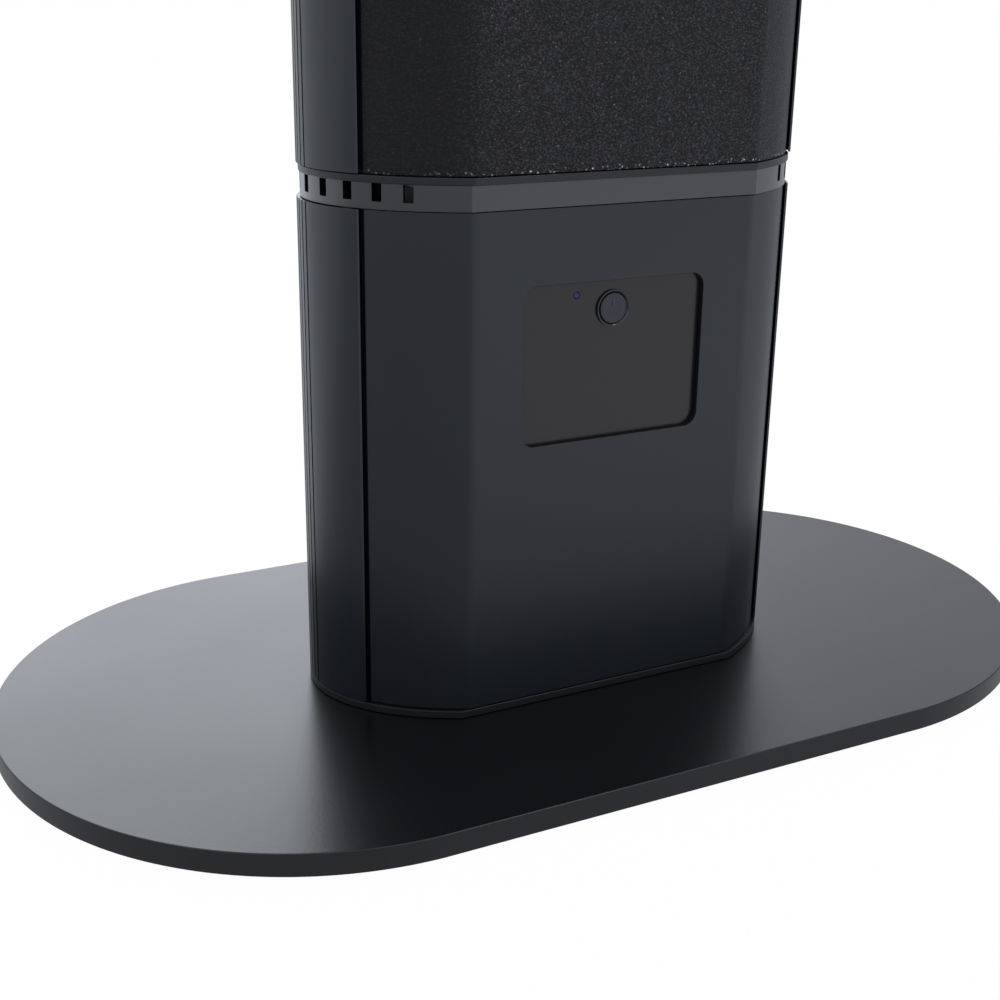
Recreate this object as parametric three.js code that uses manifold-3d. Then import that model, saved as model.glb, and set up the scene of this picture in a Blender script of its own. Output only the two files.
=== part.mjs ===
// Infrared patio heater tower, in millimetres. +Z is up and the front faces -Y.
// The origin lies on the floor, under the middle of the base plate.
import * as THREE from "three";
import { mergeVertices } from "three/addons/utils/BufferGeometryUtils.js";
import Module from "manifold-3d";

const wasm = await Module();
wasm.setup();

// Fits
const SEAT = 0.3; // gap between a piece and what it rests on or is held by
const PAST = 1; // how far a cutting tool reaches past what it cuts
const EDGE_BREAK = 0.3; // softening of a moulded edge
const TOTAL_HEIGHT = 1050;

// Base plate: a stadium of thick steel on four pads
const PLATE_LENGTH = 580;
const PLATE_WIDTH = 322;
const PLATE_THICKNESS = 11.5;
const PLATE_BEVEL = 0.8;
const PLATE_STEPS = 18; // round each end
const PAD_RADIUS = 14;
const PAD_HEIGHT = 2;
const PAD_X = 200;
const PAD_Y = 95;

// Plan of the tower: an ellipse with its front and its rear cut flat
const MIDDLE_Y = -5; // the tower stands a little forward of the plate's middle
const HALF_WIDTH = 129;
const HALF_DEPTH = 78.3;
const FLAT = 63.5; // distance of both flats from the tower's middle
const ARC_STEP = THREE.MathUtils.degToRad(7.3);

// Rear shell, which stands proud of the front cover, and the ledge that the cover laps over
const SHELL_PROUD = 2.5;
const SHELL_WALL = 2.5;
const SHELL_EDGE = -38.8; // where the shell's outer face ends, along Y
const SHELL_LIP = 1; // thickness of the shell at that edge
const CHANNEL_BACK = -31.5; // where the channel behind the edge ends, along Y
const PANEL_EDGE = -39.3; // where the front panel's cheek ends
const PANEL_WALL = 2;
const LEDGE_WALL = 2.2;
const LEDGE_EDGE = -51;
const LEDGE_ROOT = 5; // how far the ledge's root reaches behind the channel
const GROOVE_COUNT = 5;
const GROOVE_PITCH = 4.6;
const GROOVE_WIDTH = 1.2;
const GROOVE_DEPTH = 0.8;
const GROOVE_FIRST = 10.9; // Y of the rearmost groove

// Screw ports of the shells: the pieces above and below are screwed or pinned into them
const PORT_RADIUS = 4.6;
const PORT_INSET = 3.8; // from the shell's inner face to the port's middle
const PORT_FLANK_Y = -26.3; // between two of the vent slots
const PORT_REAR_X = 60;
const SCREW_RADIUS = 1.7;
const SCREW_GRIP = 14; // length of a screw or stud inside a port
const SCREW_HEAD_RADIUS = 3.6;
const SCREW_HEAD_HEIGHT = 2.2;

// Foot ring: a tray under the tower, bolted to the plate
const FOOT_EDGE = 4; // height of its edge above the plate
const FOOT_PROUD = 0.8; // past the front flat
const SPIGOT_INSET = 5.2;
const SPIGOT_WALL = 2.2;
const SPIGOT_HEIGHT = 10;
const BOLT_RADIUS = 3.3;
const BOLT_HEAD_RADIUS = 6.5;
const BOLT_HEAD_HEIGHT = 5.6;
const BOLT_X = 78;
const BOLT_Y = 34;
const BOSS_RADIUS = 8.5;
const BOSS_HEIGHT = 16;

// Vent collar and top cap: a slotted band under a proud lip or lid
const COLLAR_LEVEL = 261.6; // height of the collar's underside above the floor
const BAND_HEIGHT = 11.6;
const BAND_WALL = 2.5;
const COLLAR_FLOOR = 3;
const LIP_HEIGHT = 3.5;
const LIP_PROUD = 1.5;
const RIM_WIDTH = 10; // how far the lip reaches inwards, under the upper shell
const SLOT_COUNT = 9; // on each flank
const SLOT_PITCH = 14.7;
const SLOT_WIDTH = 4.7;
const SLOT_HEIGHT = 8;
const LID_HEIGHT = 7;
const LID_BEVEL = 2;
const LEAD_HOLE_RADIUS = 9;
const LEAD_HOLE_X = 26;
const LEAD_HOLE_Y = 8;

// Control window in the lower front cover
const WINDOW_WIDTH = 99;
const WINDOW_HEIGHT = 77;
const WINDOW_RADIUS = 7;
const WINDOW_LEVEL = 187.4; // height of the window's middle above the floor
const RIM_DEPTH = 2.8; // of the turned-in rim, from the cover's face
const RIM_WALL = 1.6;
const GLASS_THICKNESS = 2;
const GLASS_MARGIN = 6; // how far the window reaches past the opening
const POST_RADIUS = 3;
const POST_LENGTH = 8;

// Power button, its ring and the push switch behind it
const BUTTON_LEVEL = 211.9; // height of the button's middle above the floor
const BUTTON_RADIUS = 7.3;
const BUTTON_TRAVEL = 1.2;
const BUTTON_SUNK = 0.1; // of its rim, below the ring's face
const BUTTON_DISH = 0.3;
const STEM_LENGTH = 1;
const RING_RADIUS = 9;
const RING_SLEEVE_RADIUS = 8.2;
const RING_PROUD = 0.9;
const BUTTON_FLANGE_RADIUS = 9.4;
const FLANGE_THICKNESS = 1.1;
const STEM_RADIUS = 2.5;
const SWITCH_SIZE = 8;
const SWITCH_DEPTH = 4;
const PLUNGER_RADIUS = 1.6;
const PLUNGER_BORE_DEPTH = 3;
const LIGHT_RADIUS = 1.5;
const LIGHT_X = -20;
const LIGHT_LEVEL = 219.4;
const LIGHT_DOME = 0.35;

// Control board
const BOARD_WIDTH = 96;
const BOARD_HEIGHT = 72;
const BOARD_THICKNESS = 1.6;
const BOARD_RADIUS = 3;
const CASE_RADIUS = 1; // at the corners of the cases on the board
const RELAY_WIDTH = 16;
const RELAY_HEIGHT = 20;
const RELAY_DEPTH = 15;
const RELAY_X = 14;
const RELAY_RISE = 14; // above the board's middle
const TERMINAL_WIDTH = 34;
const TERMINAL_HEIGHT = 14;
const TERMINAL_DEPTH = 16;
const TERMINAL_POLES = 4;
const TERMINAL_DROP = 22; // below the board's middle
const POLE_RADIUS = 2.2;
const POLE_DEPTH = 8;
const RECEIVER_WIDTH = 6;
const RECEIVER_HEIGHT = 7;
const RECEIVER_DEPTH = 5;
const RECEIVER_RADIUS = 1.5;

// Tip-over switch on the foot ring's floor
const TILT_X = -45;
const EAR_GAP = 18;
const EAR_WALL = 2;
const EAR_WIDTH = 16;
const EAR_FOOT = 7; // how far the bracket's foot reaches past each ear
const PIVOT_HEIGHT = 38; // above the bracket's underside
const PIN_RADIUS = 1.5;
const PIN_END = 2; // how far the pin reaches past each ear
const HUB_RADIUS = 4.2;
const ARM_WIDTH = 4;
const WEIGHT_RADIUS = 7;
const WEIGHT_WIDTH = 15;
const WEIGHT_DROP = 20;

// Cable gland, low on the rear face
const GLAND_X = 30;
const GLAND_LEVEL = 52;
const GLAND_RADIUS = 8;
const GLAND_BORE = 4.4;
const GLAND_NUT_RADIUS = 12;
const GLAND_NUT_HEIGHT = 5;
const GLAND_DOME_RADIUS = 9;
const GLAND_DOME_HEIGHT = 3;
const GLAND_MOUTH_RADIUS = 6.4;
const GLAND_OUTSIDE = 13;
const GLAND_INSIDE = 10;

// Heater chassis, reflector and lamps in the upper section
const CHASSIS_HALF_WIDTH = 78;
const CHASSIS_WALL = 1.5;
const CHASSIS_FRONT = -20;
const CHASSIS_REAR = 44;
const REFLECTOR_WALL = 1;
const TROUGH_HALF_WIDTH = 33;
const TROUGH_DEPTH = 35;
const TROUGH_STEPS = 12;
const REFLECTOR_CLEARANCE = 2; // above and below, from the lamps' caps
const LAMP_X = 36.5;
const TUBE_RADIUS = 5;
const TUBE_WALL = 1;
const FILAMENT_RADIUS = 1.4;
const LAMP_MARGIN = 52; // from the ends of the upper section to the lamp brackets
const BRACKET_WALL = 1.5;
const BRACKET_RADIUS = 2;
const BRACKET_INSET = 2; // from the chassis's front edges
const LAMP_CAP_WIDTH = 17;
const LAMP_CAP_DEPTH = 14;
const LAMP_CAP_HEIGHT = 24;
const LAMP_CAP_RADIUS = 2;
const LAMP_CAP_FLANGE = 3;
const LAMP_CAP_LEDGE = 2.5; // how far the flange reaches past the cap
const LAMP_CAP_SOCKET = 12;
const CUTOUT_RADIUS = 8;
const CUTOUT_HEIGHT = 7;
const CUTOUT_FLANGE = 2;
const CUTOUT_FLANGE_HEIGHT = 1;
const CUTOUT_Y = 28;

// Lamp leads: from the terminal block through the collar's holes to both ends of the lamps
const LEAD_RADIUS = 1.6;
const LEAD_SIDES = 5;
const LEAD_SPREAD = 3.5; // of two leads from the middle of the hole they share
const LEAD_LOOP = 14; // how far a lead stands off before it bends
const RISER_X = -20;
const RISER_Y = 32;

// Cooling slots in the rear face of the upper shell
const REAR_SLOT_WIDTH = 44;
const REAR_SLOT_HEIGHT = 4;
const REAR_SLOT_PITCH = 11;
const REAR_SLOT_ROWS = 4;
const REAR_SLOT_X = 30;
const REAR_SLOT_MARGIN = 60; // from the shell's ends to the nearest row

// Levels that follow, above the floor
const PLATE_LEVEL = PAD_HEIGHT + SEAT;
const FOOT_LEVEL = PLATE_LEVEL + PLATE_THICKNESS + SEAT;
const FOOT_TOP = PLATE_LEVEL + PLATE_THICKNESS + FOOT_EDGE;
const LOWER_LEVEL = FOOT_TOP + SEAT;
const LOWER_HEIGHT = COLLAR_LEVEL - SEAT - LOWER_LEVEL;
const UPPER_LEVEL = COLLAR_LEVEL + BAND_HEIGHT + LIP_HEIGHT + SEAT;
const CAP_LEVEL = TOTAL_HEIGHT - BAND_HEIGHT - LID_HEIGHT;
const UPPER_HEIGHT = CAP_LEVEL - SEAT - UPPER_LEVEL;
const FOOT_FLOOR = FOOT_TOP - FOOT_LEVEL;

// Depths that follow, along Y
const FRONT = MIDDLE_Y - FLAT;
const REAR = MIDDLE_Y + FLAT;
const REAR_FACE = REAR + SHELL_PROUD;
const GLASS_FRONT = FRONT + RIM_DEPTH + SEAT;
const GLASS_BACK = GLASS_FRONT + GLASS_THICKNESS;
const BOARD_FRONT = GLASS_BACK + POST_LENGTH + SEAT;
const BOARD_BACK = BOARD_FRONT + BOARD_THICKNESS;
const SWITCH_FRONT = BOARD_FRONT - SEAT - SWITCH_DEPTH;
const TERMINAL_BACK = BOARD_BACK + SEAT + TERMINAL_DEPTH;

// Materials
const finish = (color, roughness, metalness) =>
  new THREE.MeshStandardMaterial({ color, roughness, metalness });
const blackCoat = finish(0x26272a, 0.45, 0.1);
const plateCoat = finish(0x2b2c2e, 0.5, 0.1);
const blackPlastic = finish(0x28292c, 0.5, 0);
const darkWindow = finish(0x2c2c2c, 0.35, 0);
const glossBlack = finish(0x141416, 0.12, 0);
const meshBlack = finish(0x242322, 0.4, 0.6);
const rubber = finish(0x1b1b1b, 0.85, 0);
const blueLens = finish(0x3048ff, 0.2, 0);
const zincSteel = finish(0xa4a8ac, 0.4, 1);
const sheetSteel = finish(0x8f9396, 0.5, 1);
const brightAluminium = finish(0xdfe2e4, 0.12, 1);
const quartz = finish(0xd8d3cc, 0.05, 0);
const carbon = finish(0x2a2522, 0.7, 0.2);
const ceramic = finish(0xe6e0d3, 0.7, 0);
const boardGreen = finish(0x1f5a38, 0.5, 0);
const relayBlue = finish(0x23519c, 0.45, 0);
const terminalGrey = finish(0x7d8488, 0.5, 0);
const wovenSleeve = finish(0xdedad3, 0.8, 0);

// Booleans: a closed geometry becomes a solid, is joined or cut, and becomes a geometry again.
function solid(geometry) {
  const bare = geometry.clone();
  bare.deleteAttribute("normal");
  bare.deleteAttribute("uv");
  const closed = mergeVertices(bare, 1e-4);
  const vertProperties = closed.attributes.position.array;
  const triVerts = new Uint32Array(closed.index.array);
  return new wasm.Manifold(new wasm.Mesh({ numProp: 3, vertProperties, triVerts }));
}

function geometryOf(body) {
  const { vertProperties, triVerts } = body.getMesh();
  const indexed = new THREE.BufferGeometry();
  indexed.setAttribute("position", new THREE.BufferAttribute(vertProperties, 3));
  indexed.setIndex(new THREE.BufferAttribute(triVerts, 1));
  const geometry = indexed.toNonIndexed();
  geometry.computeVertexNormals();
  return geometry;
}

const join = (...pieces) =>
  geometryOf(pieces.map(solid).reduce((whole, piece) => whole.add(piece)));
const cut = (piece, ...tools) =>
  geometryOf(tools.map(solid).reduce((whole, tool) => whole.subtract(tool), solid(piece)));

// Outlines
const point = (x, y) => new THREE.Vector2(x, y);
const mirrored = (right) => [...right, ...right.toReversed().map(({ x, y }) => point(-x, y))];

// An arc of the plan's right flank, grown outwards by `grow`, from Y `from` to Y `to`.
function flankArc(grow, from, to) {
  const width = HALF_WIDTH + grow;
  const depth = HALF_DEPTH + grow;
  const start = Math.asin((from - MIDDLE_Y) / depth);
  const end = Math.asin((to - MIDDLE_Y) / depth);
  const steps = Math.ceil(Math.abs(end - start) / ARC_STEP);
  const arc = new THREE.EllipseCurve(0, MIDDLE_Y, width, depth, start, end, start > end);
  return arc.getPoints(steps);
}

// The whole plan, grown by `grow`, which may be negative.
const plan = (grow, front = FRONT - grow) => mirrored(flankArc(grow, front, REAR + grow));

function circle(radius, x = 0, y = 0, sides = 16) {
  const path = new THREE.Path().absarc(x, y, radius, 0, 2 * Math.PI);
  return path.getSpacedPoints(sides).slice(0, sides);
}

function roundedRectangle(width, height, radius, x = 0, y = 0, steps = 3) {
  const path = new THREE.Path();
  const right = x + width / 2 - radius;
  const left = x - width / 2 + radius;
  const top = y + height / 2 - radius;
  const bottom = y - height / 2 + radius;
  path.absarc(right, bottom, radius, -Math.PI / 2, 0);
  path.absarc(right, top, radius, 0, Math.PI / 2);
  path.absarc(left, top, radius, Math.PI / 2, Math.PI);
  path.absarc(left, bottom, radius, Math.PI, 1.5 * Math.PI);
  return path.getPoints(steps);
}

// An outline in X and Y, raised along Z.
function prism(outline, bottom, height, holes = []) {
  const shape = new THREE.Shape(outline);
  shape.holes = holes.map((hole) => new THREE.Path(hole));
  const geometry = new THREE.ExtrudeGeometry(shape, { depth: height, bevelEnabled: false });
  return geometry.translate(0, 0, bottom);
}

// An outline in X and Z, deepened along Y from `front`.
const panel = (outline, front, depth, holes) =>
  prism(outline, 0, depth, holes)
    .rotateX(Math.PI / 2)
    .translate(0, front + depth, 0);

// An outline in Y and Z, widened along X from `left`.
const AXES_Y_Z_X = new THREE.Matrix4().makeBasis(
  new THREE.Vector3(0, 1, 0),
  new THREE.Vector3(0, 0, 1),
  new THREE.Vector3(1, 0, 0),
);
const web = (outline, left, width, holes) =>
  prism(outline, left, width, holes).applyMatrix4(AXES_Y_Z_X);

// A profile of [radius, height] corners, turned about Z.
function turned(profile, sides = 16) {
  const corners = profile.map(([radius, height]) => point(radius, height));
  return new THREE.LatheGeometry(corners, sides).rotateX(Math.PI / 2);
}

const rod = (radius, bottom, height, sides = 16) =>
  prism(circle(radius, 0, 0, sides), bottom, height);
// Turned so that what pointed up points to the front.
const facing = (geometry) => geometry.rotateX(Math.PI / 2);
const box = (width, depth, height, x = 0, y = 0, z = 0) =>
  new THREE.BoxGeometry(width, depth, height).translate(x, y, z + height / 2);

// The middles of the four screw ports, on both flanks and near both rear corners.
const flankPortX = flankArc(-PORT_INSET, PORT_FLANK_Y, MIDDLE_Y)[0].x;
const PORTS = [1, -1].flatMap((side) => [
  [side * flankPortX, PORT_FLANK_Y],
  [side * PORT_REAR_X, REAR_FACE - SHELL_WALL - PORT_INSET],
]);
const atPorts = (radius, bottom, height, sides = 8) =>
  PORTS.map(([x, y]) => prism(circle(radius, x, y, sides), bottom, height));

// The middles of the four base bolts.
const BOLTS = [
  [-BOLT_X, -BOLT_Y],
  [BOLT_X, -BOLT_Y],
  [BOLT_X, BOLT_Y],
  [-BOLT_X, BOLT_Y],
];
const atBolts = (radius, bottom, height) =>
  BOLTS.map(([x, y]) => prism(circle(radius, x, y, 12), bottom, height));

// Rear shell: outer face with upright grooves, a thin front edge over a channel, the ledge
// beside the channel, and the inner face.
function rearShell(height) {
  const inner = SHELL_PROUD - SHELL_WALL;
  const ledge = -PANEL_WALL - SEAT;
  const root = CHANNEL_BACK + LEDGE_ROOT;
  const outline = [];
  let y = REAR_FACE;
  for (let i = 0; i < GROOVE_COUNT; i++) {
    const behind = GROOVE_FIRST - i * GROOVE_PITCH + GROOVE_WIDTH / 2;
    outline.push(...flankArc(SHELL_PROUD, y, behind));
    y = behind - GROOVE_WIDTH;
    outline.push(...flankArc(SHELL_PROUD - GROOVE_DEPTH, behind, y));
  }
  outline.push(...flankArc(SHELL_PROUD, y, SHELL_EDGE));
  outline.push(...flankArc(SHELL_PROUD - SHELL_LIP, SHELL_EDGE, CHANNEL_BACK));
  outline.push(...flankArc(ledge, CHANNEL_BACK, LEDGE_EDGE));
  outline.push(...flankArc(ledge - LEDGE_WALL, LEDGE_EDGE, root));
  outline.push(...flankArc(inner, root, REAR + inner));
  const shell = join(prism(mirrored(outline), 0, height), ...atPorts(PORT_RADIUS, 0, height));
  return cut(shell, ...atPorts(SCREW_RADIUS + SEAT, -PAST, height + 2 * PAST));
}

// Front panel: a flat front between two curved cheeks.
function frontPanel(height) {
  const outer = flankArc(0, FRONT, PANEL_EDGE);
  const inner = flankArc(-PANEL_WALL, PANEL_EDGE, FRONT + PANEL_WALL);
  return prism(mirrored([...outer, ...inner]), 0, height);
}

// A ring that locates the sections on each other, clear of their ledges and ports.
function spigot(bottom, height) {
  const ring = prism(plan(-SPIGOT_INSET), bottom, height, [plan(-SPIGOT_INSET - SPIGOT_WALL)]);
  return cut(ring, ...atPorts(PORT_RADIUS + 2 * SEAT, bottom - PAST, height + 2 * PAST));
}

// Vent slots: boxes square to the flanks, at an even pitch along each from its middle.
function ventSlots() {
  const quarter = Math.PI / 2;
  const flank = new THREE.EllipseCurve(0, MIDDLE_Y, HALF_WIDTH, HALF_DEPTH, -quarter, quarter);
  const pitch = SLOT_PITCH / flank.getLength();
  const slot = (side, i) => {
    const along = 0.5 + (i - (SLOT_COUNT - 1) / 2) * pitch;
    const middle = flank.getPointAt(along);
    const run = flank.getTangentAt(along);
    const tool = new THREE.BoxGeometry(SLOT_WIDTH, 4 * BAND_WALL, SLOT_HEIGHT);
    tool.rotateZ(side * run.angle());
    return tool.translate(side * middle.x, middle.y, BAND_HEIGHT - SLOT_HEIGHT / 2);
  };
  return Array.from({ length: SLOT_COUNT }, (_, i) => [slot(1, i), slot(-1, i)]).flat();
}

// A screw or bolt, head down: its head, and its shank of length `grip`
function fastener(headRadius, headHeight, radius, grip) {
  const profile = [
    [0, 0],
    [headRadius, 0],
    [headRadius, headHeight],
    [radius, headHeight],
    [radius, headHeight + grip],
    [0, headHeight + grip],
  ];
  return turned(profile, 8);
}

const screw = (grip) => fastener(SCREW_HEAD_RADIUS, SCREW_HEAD_HEIGHT, SCREW_RADIUS, grip);

// Foot ring
function footRing() {
  const edge = plan(SHELL_PROUD, FRONT - FOOT_PROUD);
  const bosses = atBolts(BOSS_RADIUS, 0, FOOT_FLOOR + BOSS_HEIGHT);
  const ring = join(
    prism(edge, 0, FOOT_FLOOR),
    spigot(FOOT_FLOOR / 2, FOOT_FLOOR / 2 + SPIGOT_HEIGHT),
    ...bosses,
  );
  return cut(
    ring,
    ...atBolts(BOLT_RADIUS + SEAT, -PAST, FOOT_FLOOR + BOSS_HEIGHT + 2 * PAST),
    ...atPorts(SCREW_RADIUS + SEAT, -PAST, FOOT_FLOOR + 2 * PAST),
    ...atPorts(SCREW_HEAD_RADIUS + SEAT, -PAST, PAST + SCREW_HEAD_HEIGHT + SEAT),
  );
}

// Base plate: semicircular ends, a fine bevel round both faces, and recesses for the bolts
function basePlate() {
  const radius = PLATE_WIDTH / 2;
  const straight = PLATE_LENGTH / 2 - radius;
  const path = new THREE.Path();
  path.absarc(straight, 0, radius, -Math.PI / 2, Math.PI / 2);
  path.absarc(-straight, 0, radius, Math.PI / 2, 1.5 * Math.PI);
  const slab = new THREE.ExtrudeGeometry(new THREE.Shape(path.getPoints(PLATE_STEPS)), {
    depth: PLATE_THICKNESS - 2 * PLATE_BEVEL,
    bevelThickness: PLATE_BEVEL,
    bevelSize: PLATE_BEVEL,
    bevelOffset: -PLATE_BEVEL,
    bevelSegments: 1,
  }).translate(0, 0, PLATE_BEVEL);
  return cut(
    slab,
    ...atBolts(BOLT_RADIUS + SEAT, -PAST, PLATE_THICKNESS + 2 * PAST),
    ...atBolts(BOLT_HEAD_RADIUS + 2 * SEAT, -PAST, PAST + BOLT_HEAD_HEIGHT + 2 * SEAT),
  );
}

// Lower front cover with the window's opening and its turned-in rim
function lowerCover() {
  const middle = WINDOW_LEVEL - LOWER_LEVEL;
  const opening = roundedRectangle(WINDOW_WIDTH, WINDOW_HEIGHT, WINDOW_RADIUS, 0, middle);
  const rim = roundedRectangle(
    WINDOW_WIDTH + 2 * RIM_WALL,
    WINDOW_HEIGHT + 2 * RIM_WALL,
    WINDOW_RADIUS + RIM_WALL,
    0,
    middle,
  );
  const behind = PANEL_WALL / 2; // the rim starts inside the cover's wall
  return cut(
    join(frontPanel(LOWER_HEIGHT), panel(rim, FRONT + behind, RIM_DEPTH - behind)),
    panel(opening, FRONT - PAST, RIM_DEPTH + 2 * PAST),
  );
}

// The dark window closes the opening from behind and carries the board on four posts.
function controlWindow() {
  const width = WINDOW_WIDTH + 2 * GLASS_MARGIN;
  const height = WINDOW_HEIGHT + 2 * GLASS_MARGIN;
  const middle = WINDOW_LEVEL - LOWER_LEVEL;
  const outline = roundedRectangle(width, height, WINDOW_RADIUS + GLASS_MARGIN, 0, middle);
  const holes = [
    circle(RING_SLEEVE_RADIUS + SEAT, 0, BUTTON_LEVEL - LOWER_LEVEL, 20),
    circle(LIGHT_RADIUS + SEAT, LIGHT_X, LIGHT_LEVEL - LOWER_LEVEL, 8),
  ];
  const plate = panel(outline, GLASS_FRONT, GLASS_THICKNESS, holes);
  const across = BOARD_WIDTH / 2 - 2 * POST_RADIUS;
  const along = BOARD_HEIGHT / 2 - 2 * POST_RADIUS;
  const root = GLASS_THICKNESS / 2; // the posts start inside the window
  const post = (x, z) =>
    panel(circle(POST_RADIUS, x, z, 8), GLASS_BACK - root, root + POST_LENGTH);
  const posts = [-across, across].flatMap((x) => [
    post(x, middle - along),
    post(x, middle + along),
  ]);
  return join(plate, ...posts);
}

// Glossy ring: a flange on the window's face and a sleeve through it, round the button.
function buttonRing() {
  const bore = BUTTON_RADIUS + SEAT;
  const back = -SEAT - GLASS_THICKNESS;
  const profile = [
    [bore, back],
    [RING_SLEEVE_RADIUS, back],
    [RING_SLEEVE_RADIUS, 0],
    [RING_RADIUS, 0],
    [RING_RADIUS, RING_PROUD - EDGE_BREAK],
    [RING_RADIUS - EDGE_BREAK, RING_PROUD],
    [bore, RING_PROUD],
    [bore, back],
  ];
  return facing(turned(profile, 28));
}

// The button: a dished cap, the flange that keeps it behind the window, and its stem.
const BUTTON_FACE = RING_PROUD - BUTTON_SUNK;
const FLANGE_FRONT = -GLASS_THICKNESS - 2 * SEAT - BUTTON_SUNK;
const STEM_BACK = FLANGE_FRONT - FLANGE_THICKNESS - STEM_LENGTH;
function powerButton() {
  const profile = [
    [0, STEM_BACK],
    [STEM_RADIUS, STEM_BACK],
    [STEM_RADIUS, FLANGE_FRONT - FLANGE_THICKNESS],
    [BUTTON_FLANGE_RADIUS, FLANGE_FRONT - FLANGE_THICKNESS],
    [BUTTON_FLANGE_RADIUS, FLANGE_FRONT],
    [BUTTON_RADIUS, FLANGE_FRONT],
    [BUTTON_RADIUS, BUTTON_FACE - EDGE_BREAK],
    [BUTTON_RADIUS - EDGE_BREAK, BUTTON_FACE],
    [BUTTON_RADIUS / 2, BUTTON_FACE - 0.7 * BUTTON_DISH],
    [0, BUTTON_FACE - BUTTON_DISH],
  ];
  return facing(turned(profile, 20));
}

// Lens of the indicator light, from the window's face back to the board
function lightPipe() {
  const length = BOARD_FRONT - SEAT - GLASS_FRONT;
  const profile = [
    [0, -length],
    [LIGHT_RADIUS, -length],
    [LIGHT_RADIUS, 0],
    [LIGHT_RADIUS * 0.6, LIGHT_DOME * 0.7],
    [0, LIGHT_DOME],
  ];
  return facing(turned(profile, 10));
}

// Tip-over switch: two ears hold the pin, and a weight hangs on it.
function tiltBracket() {
  const side = EAR_WIDTH / 2;
  const top = [
    point(-side, 0),
    point(side, 0),
    ...new THREE.Path().absarc(0, PIVOT_HEIGHT, side, 0, Math.PI).getPoints(4),
  ];
  const eye = circle(PIN_RADIUS + SEAT, 0, PIVOT_HEIGHT, 10);
  const left = -EAR_GAP / 2 - EAR_WALL;
  return join(
    box(EAR_GAP + 2 * (EAR_WALL + EAR_FOOT), EAR_WIDTH, EAR_WALL),
    web(top, left, EAR_WALL, [eye]),
    web(top, EAR_GAP / 2, EAR_WALL, [eye]),
  );
}

function tiltPendulum() {
  const hubWidth = EAR_GAP - 2 * SEAT;
  const hub = web(circle(HUB_RADIUS, 0, 0, 12), -hubWidth / 2, hubWidth);
  const arm = box(ARM_WIDTH, ARM_WIDTH, WEIGHT_DROP, 0, 0, -WEIGHT_DROP);
  const weight = web(circle(WEIGHT_RADIUS, 0, -WEIGHT_DROP, 14), -WEIGHT_WIDTH / 2, WEIGHT_WIDTH);
  const bore = web(circle(PIN_RADIUS + SEAT, 0, 0, 10), -hubWidth, 2 * hubWidth);
  return cut(join(hub, arm, weight), bore);
}

const tiltPin = () => {
  const length = EAR_GAP + 2 * (EAR_WALL + PIN_END);
  return web(circle(PIN_RADIUS, 0, 0, 10), -length / 2, length);
};

// Cable gland: a domed clamp outside, a threaded stub through the shell, and its own nut inside.
function cableGland() {
  const face = SEAT;
  const profile = [
    [GLAND_BORE, -GLAND_INSIDE],
    [GLAND_RADIUS, -GLAND_INSIDE],
    [GLAND_RADIUS, face],
    [GLAND_NUT_RADIUS, face],
    [GLAND_NUT_RADIUS, face + GLAND_NUT_HEIGHT],
    [GLAND_DOME_RADIUS, face + GLAND_OUTSIDE - GLAND_DOME_HEIGHT],
    [GLAND_MOUTH_RADIUS, face + GLAND_OUTSIDE],
    [GLAND_BORE, face + GLAND_OUTSIDE],
    [GLAND_BORE, -GLAND_INSIDE],
  ];
  return facing(turned(profile, 12)).rotateZ(Math.PI);
}

function glandNut() {
  return panel(circle(GLAND_NUT_RADIUS, 0, 0, 6), 0, GLAND_NUT_HEIGHT, [
    circle(GLAND_RADIUS + SEAT, 0, 0, 12),
  ]);
}

function lowerRearShell() {
  const outline = circle(GLAND_RADIUS + SEAT, GLAND_X, GLAND_LEVEL - LOWER_LEVEL, 12);
  const hole = panel(outline, REAR_FACE - SHELL_WALL - PAST, SHELL_WALL + 2 * PAST);
  return cut(rearShell(LOWER_HEIGHT), hole);
}

// Cooling slots, in two columns at both ends of the upper shell's rear face
function upperRearShell() {
  const tools = [];
  const radius = 0.49 * REAR_SLOT_HEIGHT;
  for (let row = 0; row < REAR_SLOT_ROWS; row++) {
    const above = REAR_SLOT_MARGIN + row * REAR_SLOT_PITCH;
    for (const x of [-REAR_SLOT_X, REAR_SLOT_X]) {
      for (const z of [above, UPPER_HEIGHT - above]) {
        const slot = roundedRectangle(REAR_SLOT_WIDTH, REAR_SLOT_HEIGHT, radius, x, z, 1);
        tools.push(panel(slot, REAR_FACE - SHELL_WALL - PAST, SHELL_WALL + 2 * PAST));
      }
    }
  }
  return cut(rearShell(UPPER_HEIGHT), ...tools);
}

// Vent collar: a floor with two lead holes, the slotted band, and the lip under the upper section
function ventCollar() {
  const lip = prism(plan(LIP_PROUD), BAND_HEIGHT, LIP_HEIGHT, [plan(-RIM_WIDTH)]);
  const band = prism(plan(0), 0, BAND_HEIGHT + LIP_HEIGHT / 2, [plan(-BAND_WALL)]);
  const collar = join(
    prism(plan(0), 0, COLLAR_FLOOR),
    band,
    lip,
    spigot(-SPIGOT_HEIGHT, SPIGOT_HEIGHT + COLLAR_FLOOR / 2),
    spigot(BAND_HEIGHT + LIP_HEIGHT / 2, LIP_HEIGHT / 2 + SPIGOT_HEIGHT),
  );
  const leadHole = (x) =>
    prism(circle(LEAD_HOLE_RADIUS, x, LEAD_HOLE_Y, 12), -PAST, COLLAR_FLOOR + 2 * PAST);
  return cut(
    collar,
    ...ventSlots(),
    leadHole(-LEAD_HOLE_X),
    leadHole(LEAD_HOLE_X),
    ...atPorts(SCREW_RADIUS + SEAT, -PAST, BAND_HEIGHT + LIP_HEIGHT + 2 * PAST),
  );
}

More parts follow.
